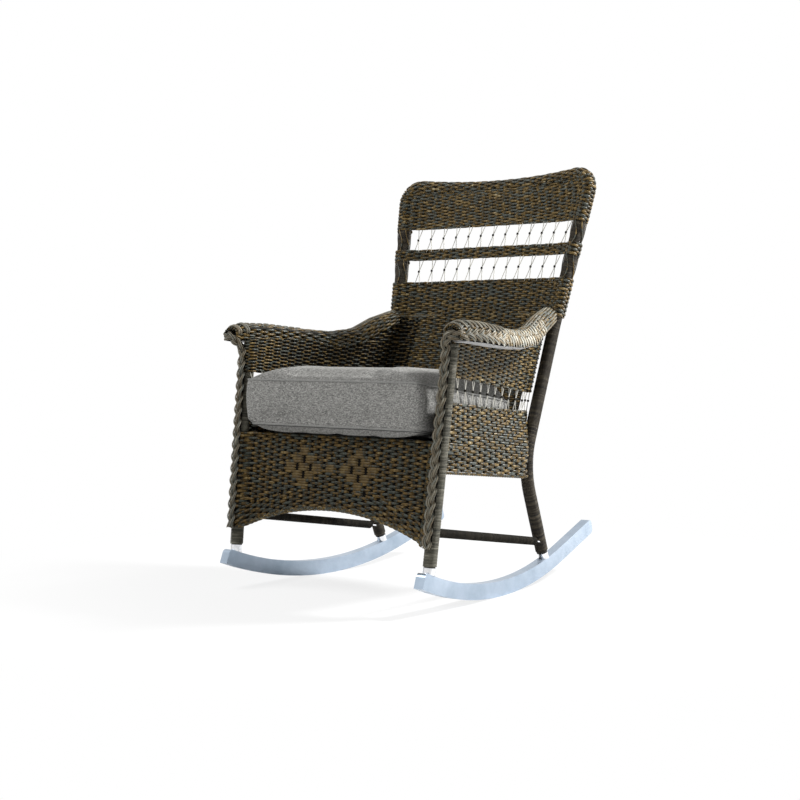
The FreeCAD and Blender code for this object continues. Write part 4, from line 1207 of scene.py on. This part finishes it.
def arm_surface(y, t, place, drop=0.0):
    # points of the arm's skin, t from the inner lower edge over the crown to the outer lower edge
    inner, outer, low, height = [np.asarray(value)[:, None] for value in arm_at(y)]
    s = np.linspace(0, 1, 25)[None]
    wall = np.linspace(0, 1, 8)[None]
    crown = height * (mix(ARM_INNER_SHARE, ARM_EDGE_SHARE, s) + ARM_CROWN_SHARE * 4 * s * (1 - s))
    inner_wall = mix(drop, height * ARM_INNER_SHARE, wall)
    outer_wall = mix(height * ARM_EDGE_SHARE, drop, wall)
    x = np.concatenate([inner + 0 * wall, mix(inner, outer, s)[:, 1:-1], outer + 0 * wall], 1)
    z = low + np.concatenate([inner_wall, crown[:, 1:-1], outer_wall], 1)
    rows = []
    for row in range(len(y)):
        route = np.stack([x[row], np.full(x.shape[1], y[row]), z[row]], -1)
        length = lengths_along(route)
        rows.append(read_at(route, length, np.asarray(t) * length[-1]))
    points = np.stack(rows)
    normal = unit(np.cross(unit(np.gradient(points, axis=1)), unit(np.gradient(points, axis=0)))) * -1
    middle = points.mean(axis=1, keepdims=True) - UP * ARM_MIDDLE_DROP
    facing = np.sign(np.sum(normal * (points - middle), -1, keepdims=True))
    normal = normal * np.where(facing == 0, 1, facing)
    return place(points), place(normal)


def make_arm_rows(left, tag, place):
    y = np.arange(ARM_Y[0] + ARM_STEP, ARM_Y[1] - 2 * ARM_STEP, ARM_STEP)
    points, normal = arm_surface(y, (np.arange(ARM_LENGTHS) + 0.5) / ARM_LENGTHS, place)
    rows = Bundle(81 + left)
    weave_rows(rows, points.transpose(1, 0, 2), normal.transpose(1, 0, 2), (y - ARM_Y[0]) / ARM_LOOP_PITCH)
    rows.piece("arm_rows_" + tag, WOVEN, "arm_weave_" + tag)
    shell, _ = arm_surface(y, np.linspace(0, 1, 24), place)
    add_shade_sheet("arm_inside_" + tag, [shell], "arm_weave_" + tag)


def make_arm_loops(left, tag, place):
    # pairs of strands over the crown; the first two pairs also cover the arm's inner side
    loops = Bundle(83 + left)
    for index in range(int((PLAIT_END_Y - ARM_Y[0]) / ARM_LOOP_PITCH) + 1):
        middle = ARM_Y[0] + (index + 0.6) * ARM_LOOP_PITCH
        t = np.linspace(*(FRONT_LOOP_SHARES if index < 2 else LOOP_SHARES), 24)
        crown = np.sin((t - t[0]) / (t[-1] - t[0]) * math.pi)[:, None]
        for shift in (-ARM_LOOP_STEP / 2, ARM_LOOP_STEP / 2):
            points, normal = arm_surface(middle + shift + np.array([-1.0, 0.0, 1.0]), t, place)
            path = points[1] + normal[1] * (LOOP_LIFT + LOOP_CROWN * crown)
            loops.add(path, unit(np.cross(normal[1], tangents(path))), normal[1], *LOOP_STRAND, taper=2)
    loops.piece("arm_loops_" + tag, KHAKI, "arm_weave_" + tag)


def make_arm_edge_line(left, tag, place):
    # a dark strand along the crown's inner side
    points, normal = arm_surface(np.arange(*EDGE_LINE_Y, ARM_STEP), EDGE_LINE_SHARES, place)
    line = Bundle(101 + left)
    across = unit(points[:, 2] - points[:, 0])
    path = points[:, 1] + normal[:, 1] * EDGE_LINE_LIFT
    line.add(path, across, normal[:, 1], *EDGE_LINE_STRAND, taper=2)
    line.piece("arm_edge_line_" + tag, STAKE, "arm_weave_" + tag)


def make_arms():
    for side in SIDES:
        make_arm_rows(*side)
        make_arm_loops(*side)
        make_arm_edge_line(*side)
        make_plait(*side)
        make_herringbone(*side)
        make_sweep(*side)


def add_plait(bundle, route, across, normal, reach, period, depth, strands, width, accent=0.0):
    # three plies, each of some strands side by side, plaited flat
    length = lengths_along(route)
    reach, width = np.broadcast_to(reach, length.shape), np.broadcast_to(width, length.shape)
    for ply in range(3):
        turn = 2 * math.pi * (length / period + ply / 3)
        swing = np.sin(turn) * reach
        lift = np.sin(2 * turn) * depth
        path = route + across * swing[:, None] + normal * lift[:, None]
        side = unit(np.cross(normal, tangents(path)))
        for index in range(strands):
            shift = (index - (strands - 1) / 2) * width * PLY_STEP_SHARE
            bulge = depth * PLY_BULGE_SHARE * (1 - (2 * index / (strands - 1) - 1) ** 2)
            strand = path + side * shift[:, None] + normal * bulge
            half = [width * share for share in PLY_STRAND_SHARES]
            bundle.add(strand, side, normal, *half, accent=accent)


def add_leaves(bundle, spine, edges, normal):
    # a herringbone of short leaves from the spine to both edges, pointing forwards at the spine
    length = lengths_along(spine)
    share = np.linspace(0, 1, 7)[:, None]
    rise = LEAF_CROWN * np.sin(share * math.pi) - LEAF_DIP
    for index in range(math.ceil(length[-1] / LEAF_PITCH - 1)):
        for edge, shift in zip(edges, (0.0, 0.5)):
            start = (index + shift) * LEAF_PITCH
            begin = read_at(spine, length, start) + read_at(normal, length, start) * LEAF_ROOT_LIFT
            finish = read_at(edge, length, min(start + LEAF_RUN, length[-1]))
            out = read_at(normal, length, start + LEAF_RUN / 2)
            overlap = mix(begin, finish, -LEAF_OVERLAP)
            path = np.concatenate([[overlap], mix(begin, finish, share) + out * rise])
            face = np.broadcast_to(out, path.shape)
            side = unit(np.cross(face, tangents(path)))
            bundle.add(path, side, face, LEAF_HALF_WIDTH, LEAF_HALF_THICK, sides=8, taper=2)


def make_plait(left, tag, place):
    # one flat plait climbs the front of the leg, turns round the arm's front end and follows its outer edge
    z = np.arange(SKIRT_FOOT_Z, FRONT_TOP[2] - PLAIT_LEG_END, PLAIT_STEP)
    climb = front_leg_at(z) + np.array([PLAIT_OUT, -LEG_WRAP - PLAIT_FRONT_LIFT, 0])
    y = np.arange(ARM_Y[0] + PLAIT_ARM_START, PLAIT_END_Y, PLAIT_STEP)
    _, outer, low, height = arm_at(y)
    level = low + (height * ARM_BRAID_SHARE - ARM_BRAID_DROP) / 2
    last = [outer[0] + 1, PLAIT_NOSE[1, 1] + 10, level[0]]
    route = np.concatenate([climb, PLAIT_NOSE, [last], np.stack([outer + PLAIT_ARM_LIFT, y, level], -1)])
    ahead, outwards = [0.05, -1.0, 0.0], [1.0, 0.0, 0.12]
    turning = [[0.5, -0.85, 0.0], [0.85, -0.5, 0.0]]
    out = np.array([ahead] * (len(climb) + 3) + turning + [outwards] * len(y))
    arm_reach = height * 0.5 * ARM_BRAID_SHARE - PLAIT_ARM_MARGIN
    reach = np.concatenate([np.full(len(climb) + 5, LEG_PLAIT_REACH), arm_reach])
    joined = even(np.concatenate([route, out * 10, reach[:, None]], 1), int(len(route) * 1.15))
    for _ in range(6):
        joined[1:-1] = (joined[:-2] + joined[1:-1] * 2 + joined[2:]) / 4
    route, out, reach = joined[:, :3], unit(joined[:, 3:6]), joined[:, 6]
    run = tangents(route)
    out = unit(out - run * np.sum(out * run, -1, keepdims=True))
    route, out, across = place(route), place(out), place(np.cross(out, run))
    plait = Bundle(91 + left)
    paler = smooth_step((route[:, 1] - PLAIT_END_Y + PALER_RUN) / PALER_RUN)
    width = PLAIT_STRAND_WIDTH + (reach - LEG_PLAIT_REACH) * PLAIT_SPREAD
    add_plait(plait, route, across, out, reach, PLAIT_PERIOD, PLAIT_DEPTH, PLAIT_STRANDS, width, paler)
    # a near-black sheet behind the plait, painted shade between its plies
    half = across * reach[:, None] * PLAIT_BACK_SHARE
    behind = np.stack([route - half, route + half]) - out * PLAIT_BACK
    nodes = ["arm_braid_" + tag, "front_leg_braid_" + tag]
    add_shade_sheet("edge_plait_inside_" + tag, [behind], *nodes)
    plait.piece("edge_plait_" + tag, KHAKI, *nodes, slot="plait")


def make_herringbone(left, tag, place):
    y = np.arange(PLAIT_END_Y - 14, LEAF_END_Y, ARM_STEP)
    points, out = arm_surface(y, LEAF_SHARES, place, drop=-ARM_BRAID_DROP)
    low, spine, high = (points + out * LEAF_LIFT).transpose(1, 0, 2)
    leaves = Bundle(93 + left)
    add_leaves(leaves, spine, (high, low), unit(out[:, 1] + out[:, 2]))
    leaves.piece("arm_herringbone_" + tag, PLAIT, "arm_braid_" + tag, slot="plait")


def make_sweep(left, tag, place):
    # where the arm rises to the back, light strands run side by side over its crown
    strands = Bundle(97 + left)
    y = np.arange(LEAF_END_Y - SWEEP_LAP, ARM_Y[1] - 2, ARM_STEP)
    points, out = arm_surface(y, np.linspace(*SWEEP_SHARES, SWEEP_STRANDS), place)
    for index in range(SWEEP_STRANDS):
        first = int((0.5 - 0.5 * math.cos(math.pi * index / (SWEEP_STRANDS - 1))) * 22)
        normal = out[first:, index]
        run = points[first:, index] + normal * SWEEP_LIFT
        strands.add(run, unit(np.cross(normal, tangents(run))), normal, *SWEEP_STRAND, taper=2)
    strands.piece("arm_sweep_" + tag, KHAKI, "arm_weave_" + tag, slot="plait")


# Cushion

def cushion_mesh():
    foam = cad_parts["cushion_foam"]
    piece = bpy.data.objects.new("cushion_padding", foam.data.copy())
    piece.data.materials.clear()
    bpy.context.scene.collection.objects.link(piece)
    bpy.context.view_layer.objects.active = piece
    bpy.ops.object.select_all(action="DESELECT")
    piece.select_set(True)
    remesh = piece.modifiers.new("even", "REMESH")
    remesh.mode = "VOXEL"
    remesh.voxel_size = CLOTH_VOXEL * MM
    bpy.ops.object.modifier_apply(modifier=remesh.name)
    return piece


def inflate(piece):
    # the cover swells between its seams: most at its crown, least at its sides
    start = np.empty(len(piece.data.vertices) * 3)
    piece.data.vertices.foreach_get("co", start)
    cloth = piece.modifiers.new("swell", "CLOTH")
    cloth.settings.use_pressure = True
    cloth.settings.uniform_pressure_force = CLOTH_PRESSURE
    cloth.settings.effector_weights.gravity = 0.0
    cloth.settings.quality = 5
    for number in range(1, CLOTH_FRAMES + 1):
        bpy.context.scene.frame_set(number)
    bpy.ops.object.modifier_apply(modifier=cloth.name)
    bpy.context.scene.frame_set(1)
    end = np.empty_like(start)
    piece.data.vertices.foreach_get("co", end)
    start = start.reshape(-1, 3)
    move = end.reshape(-1, 3) - start
    overhang = start[:, 1] < CUSHION_OVERHANG_Y * MM
    down = np.where(overhang, SWELL_FRONT, SWELL_UNDER) * MM
    limit = np.array([SWELL_SIDE, SWELL_FRONT, SWELL_CROWN]) * MM
    move = np.clip(move, -limit, limit)
    move[:, 2] = np.maximum(move[:, 2], -down)
    piece.data.vertices.foreach_set("co", (start + move).reshape(-1))
    piece.data.update()


def seam_route(piece, height):
    # points all round the cushion where a level above the sloping seat meets its cover
    tree = BVHTree.FromObject(piece, bpy.context.evaluated_depsgraph_get())
    slope = (SEAT_REAR_Z - SEAT_FRONT_Z) / (SEAT_REAR_Y - SEAT_FRONT_Y)
    found = []
    for turn in np.linspace(0, 2 * math.pi, 240, endpoint=False):
        far = CUSHION_MIDDLE + np.array([math.cos(turn), math.sin(turn)]) * CUSHION_FAR
        begin, finish = [Vector((x * MM, y * MM, (SEAT_FRONT_Z + slope * (y - SEAT_FRONT_Y) + height) * MM))
                         for x, y in (far, CUSHION_MIDDLE)]
        hit = tree.ray_cast(begin, (finish - begin).normalized())[0]
        if hit is not None:
            found.append(np.array(hit) / MM)
    return np.array(found)


def make_cushion():
    piece = cushion_mesh()
    inflate(piece)
    smooth = piece.modifiers.new("soften", "SMOOTH")
    smooth.factor = 0.5
    smooth.iterations = 4
    bpy.context.view_layer.objects.active = piece
    bpy.ops.object.modifier_apply(modifier=smooth.name)
    piece.data.materials.append(CLOTH)
    piece.data.polygons.foreach_set("use_smooth", np.ones(len(piece.data.polygons), bool))
    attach(piece, "seat_cushion")
    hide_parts("cushion_cover", "cushion_foam")
    cords, seam_shades = Bundle(99), Bundle(98)
    for height in (CUSHION_SEAM_LOW, CUSHION_SEAM_HIGH):
        route = seam_route(piece, height)
        out = unit((route - [0, CUSHION_MIDDLE[1], 0]) * [1, 1, 0])
        up = np.broadcast_to(UP, route.shape)
        cords.add(route + out * 1.2, up, out, PIPING_RADIUS, PIPING_RADIUS, sides=8, closed=True)
        # a thin dark strand just under each piping cord: painted shade in the groove below it
        seam_shades.add(route - up * SEAM_SHADE_DROP + out * 0.2, up, out, *SEAM_SHADE_STRAND, closed=True)
    for bundle, name, material in ((cords, "cushion_piping", PIPING), (seam_shades, "cushion_seam_shades", SEAM_SHADE)):
        bundle.piece(name, material, "cushion_cover", slot="cushion_cloth", body="seat_cushion")


# Plain parts of the frame

def dress(names, material, bevel=0.0):
    for name in names:
        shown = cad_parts[name]
        shown.data.materials.clear()
        shown.data.materials.append(material)
        if bevel:
            round_off = shown.modifiers.new("soft_edges", "BEVEL")
            round_off.width = bevel
            round_off.segments = 2
            round_off.limit_method = "ANGLE"
            round_off.angle_limit = math.radians(40)


def both(name):
    return [name + "_right", name + "_left"]


def make_frame_looks():
    dress(both("rocker"), ALUMINIUM, 0.0012)
    dress(both("front_leg_ferrule") + both("rear_leg_ferrule") + both("stretcher_tab"), BRIGHT)
    dress(["rocker_bolts"], BRIGHT)
    dress(["leg_plugs"], PLASTIC)
    dress(both("arm_plate"), PLATE, 0.0008)
    dress(both("front_leg_tube") + both("rear_leg_and_back_post") + ["top_rail_tube"], DARK_METAL)
    dress(both("stretcher_tube") + both("arm_core_rod") + both("seat_bracket"), DARK_METAL)
    dress(both("side_seat_rail") + ["front_seat_rail", "rear_seat_rail"], DARK_METAL)
    dress(["long_seat_straps", "cross_seat_straps"], WEB)


make_frame_looks()
make_back()
make_ledges()
make_sides()
make_back_openwork()
make_side_openwork()
make_skirt()
make_posts()
make_rail()
make_coils()
make_edge_ropes()
make_arms()
make_cushion()


# Stage, lights and camera

def make_stage():
    # white, and it takes the chair's shadow near it
    size = 9000.0
    corners = [[-size, -size, 0], [size, -size, 0], [size, size, 0], [-size, size, 0]]
    floor = make_object("floor", corners, np.array([[0, 1, 2, 3]]))
    material, tree, shader = new_material("floor_white")
    tree.nodes.remove(shader)
    out = tree.nodes["Material Output"]
    plain = node(tree, "ShaderNodeBsdfDiffuse", Color=(0.86, 0.86, 0.86, 1))
    glow = node(tree, "ShaderNodeEmission", Color=(1, 1, 1, 1), Strength=1.0)
    path = node(tree, "ShaderNodeLightPath")
    where = node(tree, "ShaderNodeTexCoord")
    far = node(tree, "ShaderNodeVectorMath", operation="LENGTH")
    tree.links.new(where.outputs["Object"], far.inputs[0])
    fade = node(tree, "ShaderNodeMapRange", interpolation_type="SMOOTHSTEP")
    fade.inputs["From Min"].default_value, fade.inputs["From Max"].default_value = FLOOR_FADE
    fade.inputs["To Min"].default_value = FLOOR_GLOW
    fade.inputs["To Max"].default_value = 1.0
    tree.links.new(far.outputs["Value"], fade.inputs["Value"])
    share = node(tree, "ShaderNodeMath", operation="MULTIPLY")
    tree.links.new(path.outputs["Is Camera Ray"], share.inputs[0])
    tree.links.new(fade.outputs[0], share.inputs[1])
    both_kinds = node(tree, "ShaderNodeMixShader")
    tree.links.new(share.outputs[0], both_kinds.inputs[0])
    tree.links.new(plain.outputs[0], both_kinds.inputs[1])
    tree.links.new(glow.outputs[0], both_kinds.inputs[2])
    tree.links.new(both_kinds.outputs[0], out.inputs["Surface"])
    floor.data.materials.append(material)


def make_world():
    world = bpy.data.worlds.new("studio")
    world.use_nodes = True
    bpy.context.scene.world = world
    tree = world.node_tree
    back = tree.nodes["Background"]
    back.inputs["Color"].default_value = (1, 1, 1, 1)
    path = node(tree, "ShaderNodeLightPath")
    most = node(tree, "ShaderNodeMath", operation="MAXIMUM")
    tree.links.new(path.outputs["Is Camera Ray"], most.inputs[0])
    tree.links.new(path.outputs["Is Glossy Ray"], most.inputs[1])
    level = node(tree, "ShaderNodeMapRange")
    level.inputs["To Min"].default_value = SKY_LEVEL
    level.inputs["To Max"].default_value = 1.0
    tree.links.new(most.outputs[0], level.inputs["Value"])
    tree.links.new(level.outputs[0], back.inputs["Strength"])


def add_lamp(name, place, aim, size, power):
    light = bpy.data.lights.new(name, "AREA")
    light.shape = "DISK"
    light.size = size
    light.energy = power
    lamp = bpy.data.objects.new(name, light)
    bpy.context.scene.collection.objects.link(lamp)
    lamp.location = place
    lamp.rotation_euler = (Vector(aim) - Vector(place)).to_track_quat("-Z", "Y").to_euler()


def make_camera():
    data = bpy.data.cameras.new("photo_view")
    data.lens = 63.0
    data.sensor_width = 36.0
    camera = bpy.data.objects.new("photo_view", data)
    camera.location = (2.1057, -2.8232, 0.5954)
    camera.rotation_euler = (math.radians(90 - 2.27), 0, math.radians(37.64))
    bpy.context.scene.collection.objects.link(camera)
    bpy.context.scene.camera = camera


make_stage()
make_world()
add_lamp("key", (2.3, 2.2, 3.0), (0.1, 0, 0.5), 0.8, 340)
add_lamp("fill", (-1.3, -2.4, 3.2), (0, 0, 0.5), 2.2, 100)
make_camera()
bpy.context.scene.view_settings.view_transform = "Standard"
